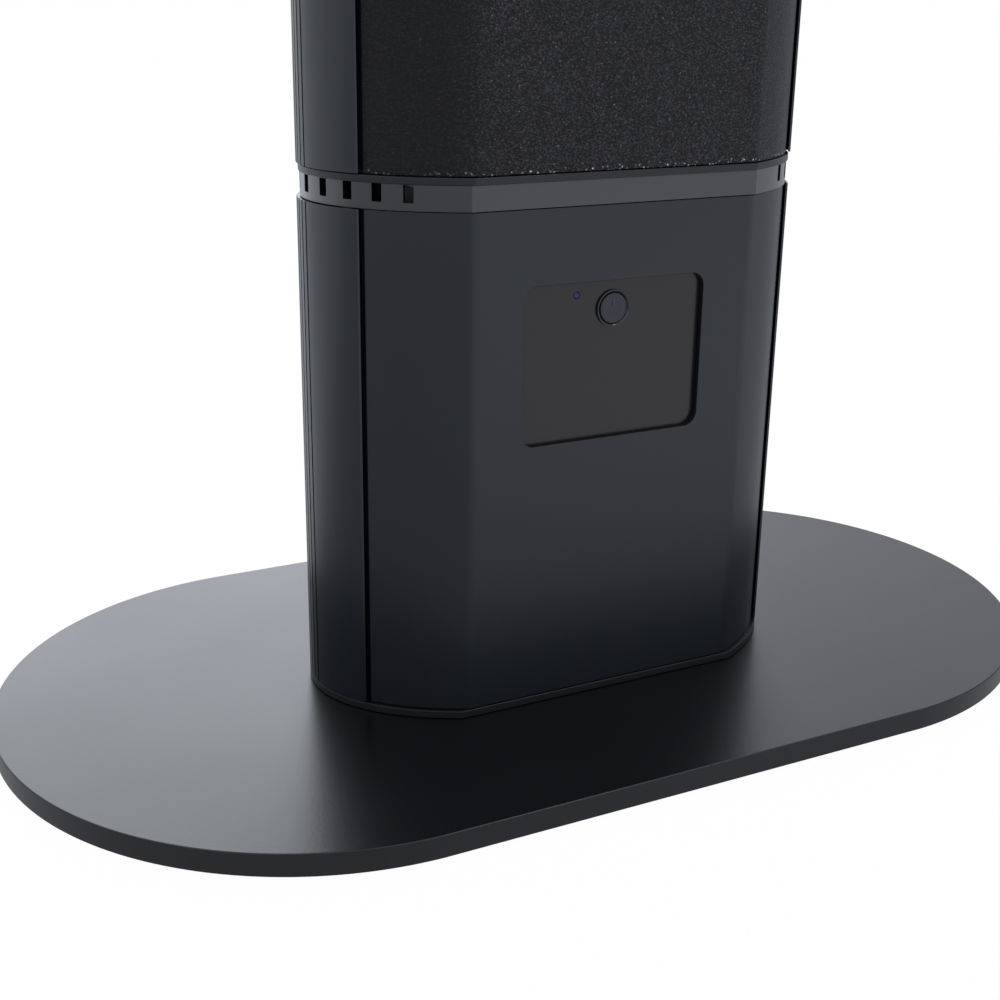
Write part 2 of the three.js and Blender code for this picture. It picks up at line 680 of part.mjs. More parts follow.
// Top cap: the same slotted band between a rim that stands on the upper shell and a bevelled lid
function topCap() {
  const shape = new THREE.Shape(plan(LIP_PROUD));
  const lid = new THREE.ExtrudeGeometry(shape, {
    depth: LID_HEIGHT - 2 * LID_BEVEL,
    bevelThickness: LID_BEVEL,
    bevelSize: LID_BEVEL,
    bevelOffset: -LID_BEVEL,
    bevelSegments: 2,
  }).translate(0, 0, BAND_HEIGHT + LID_BEVEL);
  const cap = join(
    prism(plan(LIP_PROUD), BAND_HEIGHT, LID_HEIGHT / 2), // keeps the lid's lower edge square
    prism(plan(0), 0, COLLAR_FLOOR, [plan(-RIM_WIDTH)]),
    prism(plan(0), 0, BAND_HEIGHT + LID_HEIGHT / 2, [plan(-BAND_WALL)]),
    lid,
    spigot(-SPIGOT_HEIGHT, SPIGOT_HEIGHT + COLLAR_FLOOR / 2),
  );
  const top = BAND_HEIGHT + LID_HEIGHT;
  return cut(
    cap,
    ...ventSlots(),
    ...atPorts(SCREW_RADIUS + SEAT, -PAST, top + 2 * PAST),
    ...atPorts(SCREW_HEAD_RADIUS + SEAT, top - SCREW_HEAD_HEIGHT - SEAT, top),
  );
}

// Heater chassis: a channel of sheet steel, open to the front
function heaterChassis(height) {
  const inner = CHASSIS_HALF_WIDTH - CHASSIS_WALL;
  const outline = [
    point(CHASSIS_HALF_WIDTH, CHASSIS_REAR),
    point(CHASSIS_HALF_WIDTH, CHASSIS_FRONT),
    point(inner, CHASSIS_FRONT),
    point(inner, CHASSIS_REAR - CHASSIS_WALL),
  ];
  return prism(mirrored(outline), 0, height);
}

// Reflector: two parabolic troughs, a land between them, and lips on the chassis's front edges.
// The back of the sheet is offset square to its face.
const TROUGH_FRONT = CHASSIS_FRONT - SEAT - REFLECTOR_WALL;
const TROUGH_VERTEX = TROUGH_FRONT + TROUGH_DEPTH;
const FOCUS_Y = TROUGH_VERTEX - TROUGH_HALF_WIDTH ** 2 / (4 * TROUGH_DEPTH);
function reflector(height) {
  const steps = Array.from({ length: TROUGH_STEPS + 1 }, (_, i) => (2 * i) / TROUGH_STEPS - 1);
  const face = steps.map((step) => {
    const x = LAMP_X + step * TROUGH_HALF_WIDTH;
    return point(x, TROUGH_VERTEX - TROUGH_DEPTH * step ** 2);
  });
  const back = steps.map((step, i) => {
    const normal = point((2 * TROUGH_DEPTH * step) / TROUGH_HALF_WIDTH, 1).normalize();
    const away = face[i].clone().addScaledVector(normal, REFLECTOR_WALL);
    return point(away.x, Math.max(away.y, TROUGH_FRONT + REFLECTOR_WALL));
  });
  const lip = CHASSIS_HALF_WIDTH;
  const edge = [point(lip, TROUGH_FRONT), point(lip, TROUGH_FRONT + REFLECTOR_WALL)];
  const outline = mirrored([...face, ...edge, ...back.toReversed()]);
  return prism(outline, 0, height);
}

// Lamp: quartz tube, carbon filament and ceramic caps that sit in the brackets
function lampBracket() {
  const width = 2 * (CHASSIS_HALF_WIDTH - CHASSIS_WALL - SEAT);
  const rear = CHASSIS_REAR - CHASSIS_WALL - SEAT;
  const front = CHASSIS_FRONT + BRACKET_INSET;
  const middle = (rear + front) / 2;
  const outline = roundedRectangle(width, rear - front, BRACKET_RADIUS, 0, middle, 1);
  const holeWidth = LAMP_CAP_WIDTH + 2 * SEAT;
  const holeDepth = LAMP_CAP_DEPTH + 2 * SEAT;
  const hole = (x) => roundedRectangle(holeWidth, holeDepth, CASE_RADIUS, x, FOCUS_Y, 1);
  const riserHole = circle(2 * LEAD_RADIUS, RISER_X, RISER_Y, 8);
  return prism(outline, 0, BRACKET_WALL, [hole(-LAMP_X), hole(LAMP_X), riserHole]);
}

function lampCap() {
  const block = (ledge, bottom, height) => {
    const width = LAMP_CAP_WIDTH + 2 * ledge;
    const depth = LAMP_CAP_DEPTH + 2 * ledge;
    return prism(roundedRectangle(width, depth, LAMP_CAP_RADIUS, 0, 0, 1), bottom, height);
  };
  const body = join(
    block(0, LAMP_CAP_FLANGE - LAMP_CAP_HEIGHT, LAMP_CAP_HEIGHT),
    block(LAMP_CAP_LEDGE, SEAT, LAMP_CAP_FLANGE - SEAT),
  );
  const depth = LAMP_CAP_SOCKET + PAST;
  return cut(body, rod(TUBE_RADIUS + SEAT, LAMP_CAP_FLANGE - LAMP_CAP_SOCKET, depth));
}

const BRACKET_LOW = LAMP_MARGIN + BRACKET_WALL; // seat of the lower caps
const BRACKET_HIGH = UPPER_HEIGHT - LAMP_MARGIN - BRACKET_WALL; // seat of the upper caps
const TUBE_BOTTOM = BRACKET_LOW + LAMP_CAP_FLANGE - LAMP_CAP_SOCKET + SEAT;
const TUBE_LENGTH = UPPER_HEIGHT - 2 * TUBE_BOTTOM;

const quartzTube = () =>
  prism(circle(TUBE_RADIUS), 0, TUBE_LENGTH, [circle(TUBE_RADIUS - TUBE_WALL)]);

// Thermal cut-out: a round case on a wider flange
function thermalCutout() {
  const profile = [
    [0, 0],
    [CUTOUT_RADIUS + CUTOUT_FLANGE, 0],
    [CUTOUT_RADIUS + CUTOUT_FLANGE, CUTOUT_FLANGE_HEIGHT],
    [CUTOUT_RADIUS, CUTOUT_FLANGE_HEIGHT],
    [CUTOUT_RADIUS, CUTOUT_HEIGHT],
    [0, CUTOUT_HEIGHT],
  ];
  return turned(profile, 14);
}

// Pieces on the control board, each with its back or its front on the board
const boardCase = (width, height, depth) =>
  panel(roundedRectangle(width, height, CASE_RADIUS, 0, 0, 1), 0, depth);

function controlBoard() {
  const outline = roundedRectangle(BOARD_WIDTH, BOARD_HEIGHT, BOARD_RADIUS, 0, 0, 1);
  return panel(outline, 0, BOARD_THICKNESS);
}

const pushSwitch = () =>
  cut(
    boardCase(SWITCH_SIZE, SWITCH_SIZE, SWITCH_DEPTH),
    panel(circle(PLUNGER_RADIUS + SEAT, 0, 0, 10), -PAST, PAST + PLUNGER_BORE_DEPTH),
  );

const poleX = (i) => (i - (TERMINAL_POLES - 1) / 2) * (TERMINAL_WIDTH / TERMINAL_POLES);
function terminalBlock() {
  const poles = Array.from({ length: TERMINAL_POLES }, (_, i) =>
    panel(circle(POLE_RADIUS, poleX(i), 0, 8), TERMINAL_DEPTH - POLE_DEPTH, POLE_DEPTH + PAST),
  );
  return cut(boardCase(TERMINAL_WIDTH, TERMINAL_HEIGHT, TERMINAL_DEPTH), ...poles);
}

// Lamp leads. A lead follows a smooth line through its corners, above the floor.
const TERMINAL_LEVEL = WINDOW_LEVEL - TERMINAL_DROP;
const LOW_CAP_END = UPPER_LEVEL + BRACKET_LOW + LAMP_CAP_FLANGE - LAMP_CAP_HEIGHT;
const HIGH_CAP_END = UPPER_LEVEL + BRACKET_HIGH - LAMP_CAP_FLANGE + LAMP_CAP_HEIGHT;

function lead(...corners) {
  const path = new THREE.CatmullRomCurve3(corners.map((corner) => new THREE.Vector3(...corner)));
  const shape = new THREE.Shape(circle(LEAD_RADIUS, 0, 0, LEAD_SIDES));
  return new THREE.ExtrudeGeometry(shape, { steps: 2 * corners.length, extrudePath: path });
}

// From pole `i` of the terminal block to the underside of the upper section, through the
// collar's hole at `x`, and on through further corners.
const leadFrom = (i, x, ...corners) =>
  lead(
    [poleX(i), TERMINAL_BACK + SEAT, TERMINAL_LEVEL],
    [poleX(i), TERMINAL_BACK + LEAD_LOOP, TERMINAL_LEVEL],
    [(poleX(i) + x) / 2, (TERMINAL_BACK + LEAD_HOLE_Y) / 2, (TERMINAL_LEVEL + COLLAR_LEVEL) / 2],
    [x, LEAD_HOLE_Y, COLLAR_LEVEL - LEAD_LOOP],
    [x, LEAD_HOLE_Y, COLLAR_LEVEL + LEAD_LOOP],
    ...corners,
  );

const lowerLead = (side, i) =>
  leadFrom(
    i,
    side * (LEAD_HOLE_X + LEAD_SPREAD),
    [side * LAMP_X, FOCUS_Y, LOW_CAP_END - LEAD_LOOP],
    [side * LAMP_X, FOCUS_Y, LOW_CAP_END - SEAT],
  );

// The shared lead rises behind the reflector and bridges the upper ends of both lamps.
function sharedLead() {
  const foot = UPPER_LEVEL + LAMP_MARGIN;
  const head = HIGH_CAP_END - LEAD_LOOP;
  const over = HIGH_CAP_END + LEAD_LOOP;
  const bend = LAMP_X / 2;
  const tail = leadFrom(
    1,
    -LEAD_HOLE_X + LEAD_SPREAD,
    [RISER_X, RISER_Y, foot - LEAD_LOOP],
    [RISER_X, RISER_Y, foot + PAST],
  );
  const top = lead(
    [RISER_X, RISER_Y, head - PAST],
    [RISER_X, RISER_Y, HIGH_CAP_END],
    [RISER_X / 2, (RISER_Y + FOCUS_Y) / 2, over],
    [0, FOCUS_Y, over],
  );
  const bridge = lead(
    [-LAMP_X, FOCUS_Y, HIGH_CAP_END + SEAT],
    [-LAMP_X, FOCUS_Y, HIGH_CAP_END + LEAD_LOOP / 2],
    [-bend, FOCUS_Y, over],
    [0, FOCUS_Y, over],
    [bend, FOCUS_Y, over],
    [LAMP_X, FOCUS_Y, HIGH_CAP_END + LEAD_LOOP / 2],
    [LAMP_X, FOCUS_Y, HIGH_CAP_END + SEAT],
  );
  const riser = prism(circle(LEAD_RADIUS, RISER_X, RISER_Y, LEAD_SIDES), foot, head - foot);
  return join(tail, riser, top, bridge);
}

// Assembly
const tower = new THREE.Group();
function section(level) {
  const group = new THREE.Group();
  group.position.z = level;
  tower.add(group);
  return group;
}

function place(group, name, geometry, material, x = 0, y = 0, z = 0) {
  const mesh = new THREE.Mesh(geometry, material);
  mesh.name = name;
  mesh.position.set(x, y, z);
  group.add(mesh);
  return mesh;
}

const base = section(0);
place(base, "base_plate", basePlate(), plateCoat, 0, 0, PLATE_LEVEL);
BOLTS.forEach(([x, y], i) => {
  const padX = Math.sign(x) * PAD_X;
  const padY = Math.sign(y) * PAD_Y;
  place(base, `foot_pad_${i + 1}`, rod(PAD_RADIUS, 0, PAD_HEIGHT), rubber, padX, padY, 0);
  const grip = PLATE_THICKNESS - BOLT_HEAD_HEIGHT + FOOT_FLOOR + BOSS_HEIGHT;
  const bolt = fastener(BOLT_HEAD_RADIUS, BOLT_HEAD_HEIGHT, BOLT_RADIUS, grip);
  place(base, `base_bolt_${i + 1}`, bolt, zincSteel, x, y, PLATE_LEVEL + SEAT);
});

const foot = section(FOOT_LEVEL);
place(foot, "foot_ring", footRing(), blackPlastic);
PORTS.forEach(([x, y], i) => {
  const grip = FOOT_FLOOR - SCREW_HEAD_HEIGHT + SCREW_GRIP;
  place(foot, `foot_screw_${i + 1}`, screw(grip), zincSteel, x, y, 0);
});
const tiltPivot = FOOT_FLOOR + SEAT + PIVOT_HEIGHT;
place(foot, "tilt_bracket", tiltBracket(), sheetSteel, TILT_X, 0, FOOT_FLOOR + SEAT);
place(foot, "tilt_pin", tiltPin(), zincSteel, TILT_X, 0, tiltPivot);
place(foot, "tilt_pendulum", tiltPendulum(), zincSteel, TILT_X, 0, tiltPivot);

const lower = section(LOWER_LEVEL);
place(lower, "lower_rear_shell", lowerRearShell(), blackCoat);
place(lower, "lower_front_cover", lowerCover(), blackCoat);
place(lower, "control_window", controlWindow(), darkWindow);
const glandHeight = GLAND_LEVEL - LOWER_LEVEL;
const nutFront = REAR_FACE - SHELL_WALL - SEAT - GLAND_NUT_HEIGHT;
place(lower, "cable_gland", cableGland(), blackPlastic, GLAND_X, REAR_FACE, glandHeight);
place(lower, "gland_nut", glandNut(), blackPlastic, GLAND_X, nutFront, glandHeight);

const buttonHeight = BUTTON_LEVEL - LOWER_LEVEL;
const lightHeight = LIGHT_LEVEL - LOWER_LEVEL;
const ringFace = GLASS_FRONT - SEAT;
place(lower, "button_ring", buttonRing(), glossBlack, 0, ringFace, buttonHeight);
place(lower, "power_button", powerButton(), blackPlastic, 0, ringFace, buttonHeight);
place(lower, "indicator_light", lightPipe(), blueLens, LIGHT_X, GLASS_FRONT, lightHeight);

const plungerFront = ringFace - STEM_BACK + SEAT;
const plungerBack = SWITCH_FRONT + PLUNGER_BORE_DEPTH - BUTTON_TRAVEL - SEAT;
const plunger = panel(circle(PLUNGER_RADIUS, 0, 0, 10), 0, plungerBack - plungerFront);
place(lower, "switch_plunger", plunger, terminalGrey, 0, plungerFront, buttonHeight);
place(lower, "push_switch", pushSwitch(), blackPlastic, 0, SWITCH_FRONT, buttonHeight);

const boardHeight = WINDOW_LEVEL - LOWER_LEVEL;
const behind = BOARD_BACK + SEAT;
place(lower, "control_board", controlBoard(), boardGreen, 0, BOARD_FRONT, boardHeight);
const eye = roundedRectangle(RECEIVER_WIDTH, RECEIVER_HEIGHT, RECEIVER_RADIUS);
const receiver = panel(eye, BOARD_FRONT - SEAT - RECEIVER_DEPTH, RECEIVER_DEPTH);
place(lower, "infrared_receiver", receiver, glossBlack, -LIGHT_X, 0, buttonHeight);
[-RELAY_X, RELAY_X].forEach((x, i) => {
  const relay = boardCase(RELAY_WIDTH, RELAY_HEIGHT, RELAY_DEPTH);
  place(lower, `relay_${i + 1}`, relay, relayBlue, x, behind, boardHeight + RELAY_RISE);
});
const terminalHeight = boardHeight - TERMINAL_DROP;
place(lower, "terminal_block", terminalBlock(), terminalGrey, 0, behind, terminalHeight);

const collar = section(COLLAR_LEVEL);
place(collar, "vent_collar", ventCollar(), blackPlastic);
PORTS.forEach(([x, y], i) => {
  const length = 2 * SCREW_GRIP + BAND_HEIGHT + LIP_HEIGHT;
  const stud = rod(SCREW_RADIUS, 0, length, 8);
  place(collar, `joint_stud_${i + 1}`, stud, zincSteel, x, y, -SCREW_GRIP);
});
const chassisBottom = COLLAR_FLOOR + SEAT;
const chassis = heaterChassis(CAP_LEVEL + BAND_HEIGHT - SEAT - COLLAR_LEVEL - chassisBottom);
place(collar, "heater_chassis", chassis, sheetSteel, 0, 0, chassisBottom);

const upper = section(UPPER_LEVEL);
place(upper, "upper_rear_shell", upperRearShell(), blackCoat);
place(upper, "mesh_guard", frontPanel(UPPER_HEIGHT), meshBlack);
const reflectorBottom = BRACKET_LOW + LAMP_CAP_FLANGE + REFLECTOR_CLEARANCE;
const troughs = reflector(UPPER_HEIGHT - 2 * reflectorBottom);
place(upper, "reflector", troughs, brightAluminium, 0, 0, reflectorBottom);
place(upper, "lamp_bracket_lower", lampBracket(), sheetSteel, 0, 0, LAMP_MARGIN);
place(upper, "lamp_bracket_upper", lampBracket(), sheetSteel, 0, 0, BRACKET_HIGH);
[-1, 1].forEach((side, i) => {
  const x = side * LAMP_X;
  const lamp = i + 1;
  place(upper, `lamp_cap_lower_${lamp}`, lampCap(), ceramic, x, FOCUS_Y, BRACKET_LOW);
  const upperCap = lampCap().rotateY(Math.PI);
  place(upper, `lamp_cap_upper_${lamp}`, upperCap, ceramic, x, FOCUS_Y, BRACKET_HIGH);
  place(upper, `quartz_tube_${lamp}`, quartzTube(), quartz, x, FOCUS_Y, TUBE_BOTTOM);
  const filament = rod(FILAMENT_RADIUS, 0, TUBE_LENGTH, 6);
  place(upper, `carbon_filament_${lamp}`, filament, carbon, x, FOCUS_Y, TUBE_BOTTOM);
});
place(upper, "thermal_cutout", thermalCutout(), ceramic, 0, CUTOUT_Y, BRACKET_LOW + SEAT);

const cap = section(CAP_LEVEL);
place(cap, "top_cap", topCap(), blackPlastic);
PORTS.forEach(([x, y], i) => {
  const top = BAND_HEIGHT + LID_HEIGHT;
  const headDown = screw(top - SCREW_HEAD_HEIGHT + SCREW_GRIP);
  place(cap, `cap_screw_${i + 1}`, headDown.rotateX(Math.PI), zincSteel, x, y, top);
});

const leads = section(0);
place(leads, "lamp_lead_1", lowerLead(-1, 0), wovenSleeve);
place(leads, "lamp_lead_2", lowerLead(1, TERMINAL_POLES - 1), wovenSleeve);
place(leads, "lamp_lead_3", sharedLead(), wovenSleeve);

export default tower;
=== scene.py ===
# %% [markdown]
# # Infrared patio heater tower
# The heater is an oval column on a heavy steel plate. Its lower part holds the controls behind a dark
# window, and its upper part holds the heating lamps behind fine black mesh. The exact model of the parts
# is loaded first. Pieces that show are then made again with rounder edges and finer curves, in the same
# places.

# %% Load the exact model
import math

import bmesh
import bpy
from mathutils import Matrix, Vector


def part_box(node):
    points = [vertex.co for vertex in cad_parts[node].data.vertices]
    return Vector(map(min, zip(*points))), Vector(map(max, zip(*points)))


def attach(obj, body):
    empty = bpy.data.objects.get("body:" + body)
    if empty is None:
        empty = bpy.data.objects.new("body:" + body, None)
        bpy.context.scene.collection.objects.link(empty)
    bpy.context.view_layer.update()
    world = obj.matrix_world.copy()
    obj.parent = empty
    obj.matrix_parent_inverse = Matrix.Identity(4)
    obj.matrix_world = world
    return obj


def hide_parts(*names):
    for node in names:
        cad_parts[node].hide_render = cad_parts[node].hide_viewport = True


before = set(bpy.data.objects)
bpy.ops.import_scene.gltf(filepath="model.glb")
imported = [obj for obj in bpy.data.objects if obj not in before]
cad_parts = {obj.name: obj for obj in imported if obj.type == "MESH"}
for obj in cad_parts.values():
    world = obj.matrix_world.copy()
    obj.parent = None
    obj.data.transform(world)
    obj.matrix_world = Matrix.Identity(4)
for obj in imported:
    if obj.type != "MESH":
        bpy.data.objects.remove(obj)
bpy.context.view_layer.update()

MM = 0.001
scene = bpy.context.scene
scene.view_settings.view_transform = "Standard"

# %% [markdown]
# ## Camera
# The camera stands in front of the heater, to its left, and looks slightly down. Its place and its focal
# length are real measures, so that the plate and the tower keep the proportions of a real photograph.

# %% Place the camera
CAMERA_PLACE = (-378.1 * MM, -670.1 * MM, 364.6 * MM)
CAMERA_TURN = math.radians(-27.83)  # about the upright, from straight ahead
CAMERA_DROP = math.radians(19.39)  # below the horizon
CAMERA_ROLL = math.radians(0.88)
FOCAL_LENGTH = 54.71  # mm
SENSOR_WIDTH = 36  # mm

bpy.ops.object.camera_add(location=CAMERA_PLACE)
camera = bpy.context.object
turn = Matrix.Rotation(CAMERA_TURN, 3, "Z")
tilt = Matrix.Rotation(math.pi / 2 - CAMERA_DROP, 3, "X")
roll = Matrix.Rotation(CAMERA_ROLL, 3, "Z")
camera.rotation_euler = (turn @ tilt @ roll).to_euler()
camera.data.lens = FOCAL_LENGTH
camera.data.sensor_width = SENSOR_WIDTH
camera.data.clip_start = 0.01
scene.camera = camera
print("Camera at", tuple(round(value, 3) for value in camera.location))

# %% [markdown]
# ## Shader maths
# The light and each finish are small nets of shader nodes. The classes below let such a net be written as
# a formula: a `Value` wraps one output, and sums or products of values add the Math nodes.


# %% Shader maths
class Value:
    """One output in a net of nodes."""

    def __init__(self, net, socket):
        self.net = net
        self.socket = socket

    def math(self, operation, other):
        """One of Blender's Math nodes on this value and another value or number."""
        return self.net.add("ShaderNodeMath", {"operation": operation}, {0: self, 1: other})

    def __add__(self, other):
        return self.math("ADD", other)

    def __rsub__(self, other):
        return self.net.add("ShaderNodeMath", {"operation": "SUBTRACT"}, {0: other, 1: self})

    def __mul__(self, other):
        return self.math("MULTIPLY", other)

    __radd__ = __add__
    __rmul__ = __mul__


class Net:
    """The nodes of the room or of one material."""

    def __init__(self, tree):
        self.tree = tree

    def add(self, kind, settings=None, inputs=None, out=0):
        """Adds a node, sets its settings first, then fills its sockets with numbers or links."""
        node = self.tree.nodes.new(kind)
        for name, setting in (settings or {}).items():
            setattr(node, name, setting)
        for socket, source in (inputs or {}).items():
            self.feed(node.inputs[socket], source)
        return Value(self, node.outputs[out])

    def feed(self, socket, source):
        """Links a value to the socket, or writes a number or a colour there."""
        if isinstance(source, Value):
            self.tree.links.new(source.socket, socket)
        else:
            socket.default_value = source

    def ramp(self, value, low, high):
        """0 where the value is at `low` or beyond, 1 where it is at `high` or beyond."""
        sockets = {"Value": value, "From Min": low, "From Max": high}
        return self.add("ShaderNodeMapRange", {"interpolation_type": "SMOOTHSTEP"}, sockets)

    def mix(self, amount, first, second):
        """A colour between two colours: the first where the amount is 0, the second where it is 1."""
        sockets = {0: amount, 6: first, 7: second}
        return self.add("ShaderNodeMix", {"data_type": "RGBA"}, sockets, 2)

    def along(self, axis, place):
        """The X, Y or Z of a place."""
        return self.add("ShaderNodeSeparateXYZ", None, {0: place}, axis)

    def ray(self, *kinds):
        """1 for these kinds of ray and 0 for the others."""
        first, *others = [self.add("ShaderNodeLightPath", out=f"Is {kind} Ray") for kind in kinds]
        for other in others:
            first = first.math("MAXIMUM", other)
        return first


class Finish(Net):
    """A material with one Principled shader, on the piece's own coordinates."""

    def __init__(self, name, **fixed):
        self.material = bpy.data.materials.new(name)
        self.material.use_nodes = True
        super().__init__(self.material.node_tree)
        self.shader = self.tree.nodes["Principled BSDF"]
        for socket, number in fixed.items():
            self.shader.inputs[socket.replace("_", " ")].default_value = number
        self.place = self.add("ShaderNodeTexCoord", out="Object")

    def noise(self, size, detail=2.0, roughness=0.5, place=None):
        """Noise from 0 to 1 whose spots are about `size` metres wide."""
        sockets = {"Vector": place or self.place, "Scale": 1 / size, "Detail": detail, "Roughness": roughness}
        return self.add("ShaderNodeTexNoise", None, sockets)

    def cells(self, size, feature="F1"):
        """How far each point is from the middle of its cell. The cells are about `size` metres wide."""
        sockets = {"Vector": self.place, "Scale": 1 / size}
        return self.add("ShaderNodeTexVoronoi", {"feature": feature}, sockets, "Distance")

    def stretched(self, x, y, z):
        """The piece's coordinates, drawn out where a factor is below 1."""
        return self.add("ShaderNodeMapping", None, {"Vector": self.place, "Scale": (x, y, z)})

    def set(self, socket, source):
        """Puts a value, a number or a colour on the shader's socket. Several calls can follow each other."""
        self.feed(self.shader.inputs[socket], source)
        return self

    def relief(self, value, depth):
        """Bumps as deep as `depth` metres where the value goes from 0 to 1."""
        bump = self.add("ShaderNodeBump", None, {"Height": value, "Distance": depth})
        return self.set("Normal", bump)


def grey(level, blue=0.0):
    """A neutral colour, or a slightly bluish one."""
    return (level, level * (1 + blue / 3), level * (1 + blue), 1)


# %% [markdown]
# ## Studio
# The heater stands on a white floor in a white room. The camera sees both as white, and of the floor's
# shade it sees only a trace. What black metal mirrors is a little darker to the sides, as in a studio
# where grey boards stand beside the object: this gives each bend of the covers its own tone.

# %% The room
ROOM_LIGHT = 0.68
MIRROR_BLUE = 0.12  # the daylight tint of what polished pieces mirror
WHITE = grey(1)
MIRRORED_WHITE = grey(0.97, MIRROR_BLUE)
MIRRORED_BOARD = grey(0.48, MIRROR_BLUE)
BOARDS_BEGIN = 0.42  # how far to the side, where 1 is square to the heater
BOARDS_FULL = 0.70


def seen_as(net, painted_glints, mirrored):
    """White for the camera, and other colours as light and in reflections."""
    reflection = net.mix(net.ray("Glossy"), painted_glints, mirrored)
    return net.mix(net.ray("Camera", "Transmission"), reflection, WHITE)


world = bpy.data.worlds.new("white_room")
scene.world = world
world.use_nodes = True
room = Net(world.node_tree)
direction = room.add("ShaderNodeTexCoord", out="Generated")
beside = room.ramp(room.along("X", direction), BOARDS_BEGIN, BOARDS_FULL)
mirrored_room = room.mix(beside, MIRRORED_WHITE, MIRRORED_BOARD)
room.feed(room.tree.nodes["Background"].inputs["Color"], seen_as(room, grey(ROOM_LIGHT), mirrored_room))
print("The room lights the heater at", ROOM_LIGHT)

# %% [markdown]
# Two large soft lamps stand behind the heater. The plate mirrors the left one, which gives it the long
# bright gradient on its left end. A small lamp in front, high on the right, puts a glint on the button's
# ring.

# %% The lamps
LAMP_COLOUR = grey(0.9, MIRROR_BLUE)[:3]
# For each lamp: its place, what it aims at, its width and height in metres, and its watts
LAMPS = {
    "rear_left_lamp": ((0.42, 2.55, 1.45), (-0.25, -0.05, 0), (2.1, 1.5), 26),
    "rear_right_lamp": ((2.1, 1.8, 1.4), (0.1, -0.15, 0), (1.8, 1.5), 5),
    "front_lamp": ((0.88, -1.0, 1.75), (0, -0.07, 0.2), (0.25, 0.25), 3),
}
for name, (place, aim, size, power) in LAMPS.items():
    bpy.ops.object.light_add(type="AREA", location=place)
    lamp = bpy.context.object
    lamp.name = name
    lamp.data.shape = "RECTANGLE"
    lamp.data.size, lamp.data.size_y = size
    lamp.data.energy = power
    lamp.data.color = LAMP_COLOUR
    lamp.rotation_euler = (lamp.location - Vector(aim)).to_track_quat("Z", "Y").to_euler()
print(len(LAMPS), "lamps")

# %% [markdown]
# The floor is one large plane. Polished pieces mirror it white in front of the heater on the right and
# behind it on the left, and elsewhere as dark as the boards.

# %% The floor
FLOOR_SPAN = 14
FLOOR_WHITE = 0.985  # how much of the floor's shade the camera doesn't see
# The mirrored floor turns white from the first to the second place, along X and along Y
WHITE_IN_FRONT = ((-0.22, 0.15), (-0.1, -0.45))
WHITE_BEHIND = ((0.1, -0.3), (0.0, 0.42))


def patch_of_floor(net, spans):
    """1 inside a patch of the floor with soft edges, and 0 outside."""
    x, y = (net.ramp(net.along(axis, net.place), *span) for axis, span in zip("XY", spans))
    return x * y


bpy.ops.mesh.primitive_plane_add(size=FLOOR_SPAN)
floor = bpy.context.object
floor.name = "floor"
floor_paint = Finish("floor_paint", Base_Color=grey(0.95), Roughness=0.9)
in_front, behind = (patch_of_floor(floor_paint, spans) for spans in (WHITE_IN_FRONT, WHITE_BEHIND))
mirrored_floor = floor_paint.mix(in_front.math("MAXIMUM", behind), MIRRORED_BOARD, MIRRORED_WHITE)
shine = floor_paint.add("ShaderNodeEmission", None, {"Color": seen_as(floor_paint, grey(0), mirrored_floor)})
share = FLOOR_WHITE * floor_paint.ray("Camera", "Glossy", "Transmission")
painted = Value(floor_paint, floor_paint.shader.outputs[0])
blend = floor_paint.add("ShaderNodeMixShader", None, {0: share, 1: painted, 2: shine})
floor_paint.feed(floor_paint.tree.nodes["Material Output"].inputs["Surface"], blend)
floor.data.materials.append(floor_paint.material)
print("The floor is", FLOOR_SPAN, "m wide")

# %% [markdown]
# ## Finishes
# The tower's shells and covers are coated satin black. The coat is nearly smooth, with a very fine grain
# and a faint change of gloss from place to place, which is what keeps a dark surface from looking like a
# hole.


# %% Satin black coats
def satin_coat(name, colour, roughness, grain=0.0006, depth=0.00001, blue=2.2):
    """A coat whose colour and gloss change a little from patch to patch, with a grain of fine specks."""
    finish = Finish(name)
    patches = finish.noise(0.09, 3)
    speck = finish.noise(grain, 3, 0.6)
    finish.set("Base Color", finish.mix(patches, grey(colour * 0.8, blue), grey(colour * 1.2, blue)))
    finish.set("Roughness", 0.06 * patches + 0.04 * speck + (roughness - 0.03))
    finish.relief(speck, depth)
    return finish


shell_coat = satin_coat("shell_coat", 0.0035, 0.30)
cover_coat = satin_coat("cover_coat", 0.0032, 0.34)
moulded_black = satin_coat("moulded_black", 0.004, 0.38, 0.0009, 0.00002, 0.6)
print("Coats:", shell_coat.material.name, cover_coat.material.name, moulded_black.material.name)

# %% [markdown]
# The collar is moulded too. Its band is polished and its lip is satin, so the band mirrors more of the
# room. The polish is a clear coat that begins just below the lip.

# %% Finish of the collar
LIP_HEIGHT = 3.5 * MM
POLISH_EDGE = 0.2 * MM

lip_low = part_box("mesh_guard")[0].z - LIP_HEIGHT
collar_black = satin_coat("collar_black", 0.004, 0.34, 0.0009, 0.00002, 0.6)
below_lip = collar_black.ramp(collar_black.along("Z", collar_black.place), lip_low, lip_low - POLISH_EDGE)
collar_black.set("Coat Weight", below_lip).set("Coat Roughness", 0.3).set("Specular IOR Level", 0.44)
print("The band is polished below", round(lip_low, 4), "m")


# %% [markdown]
# The plate's powder coat has a fine leather grain: small soft cells of about a millimetre. Over them lie
# broad faint patches, and a little dust.


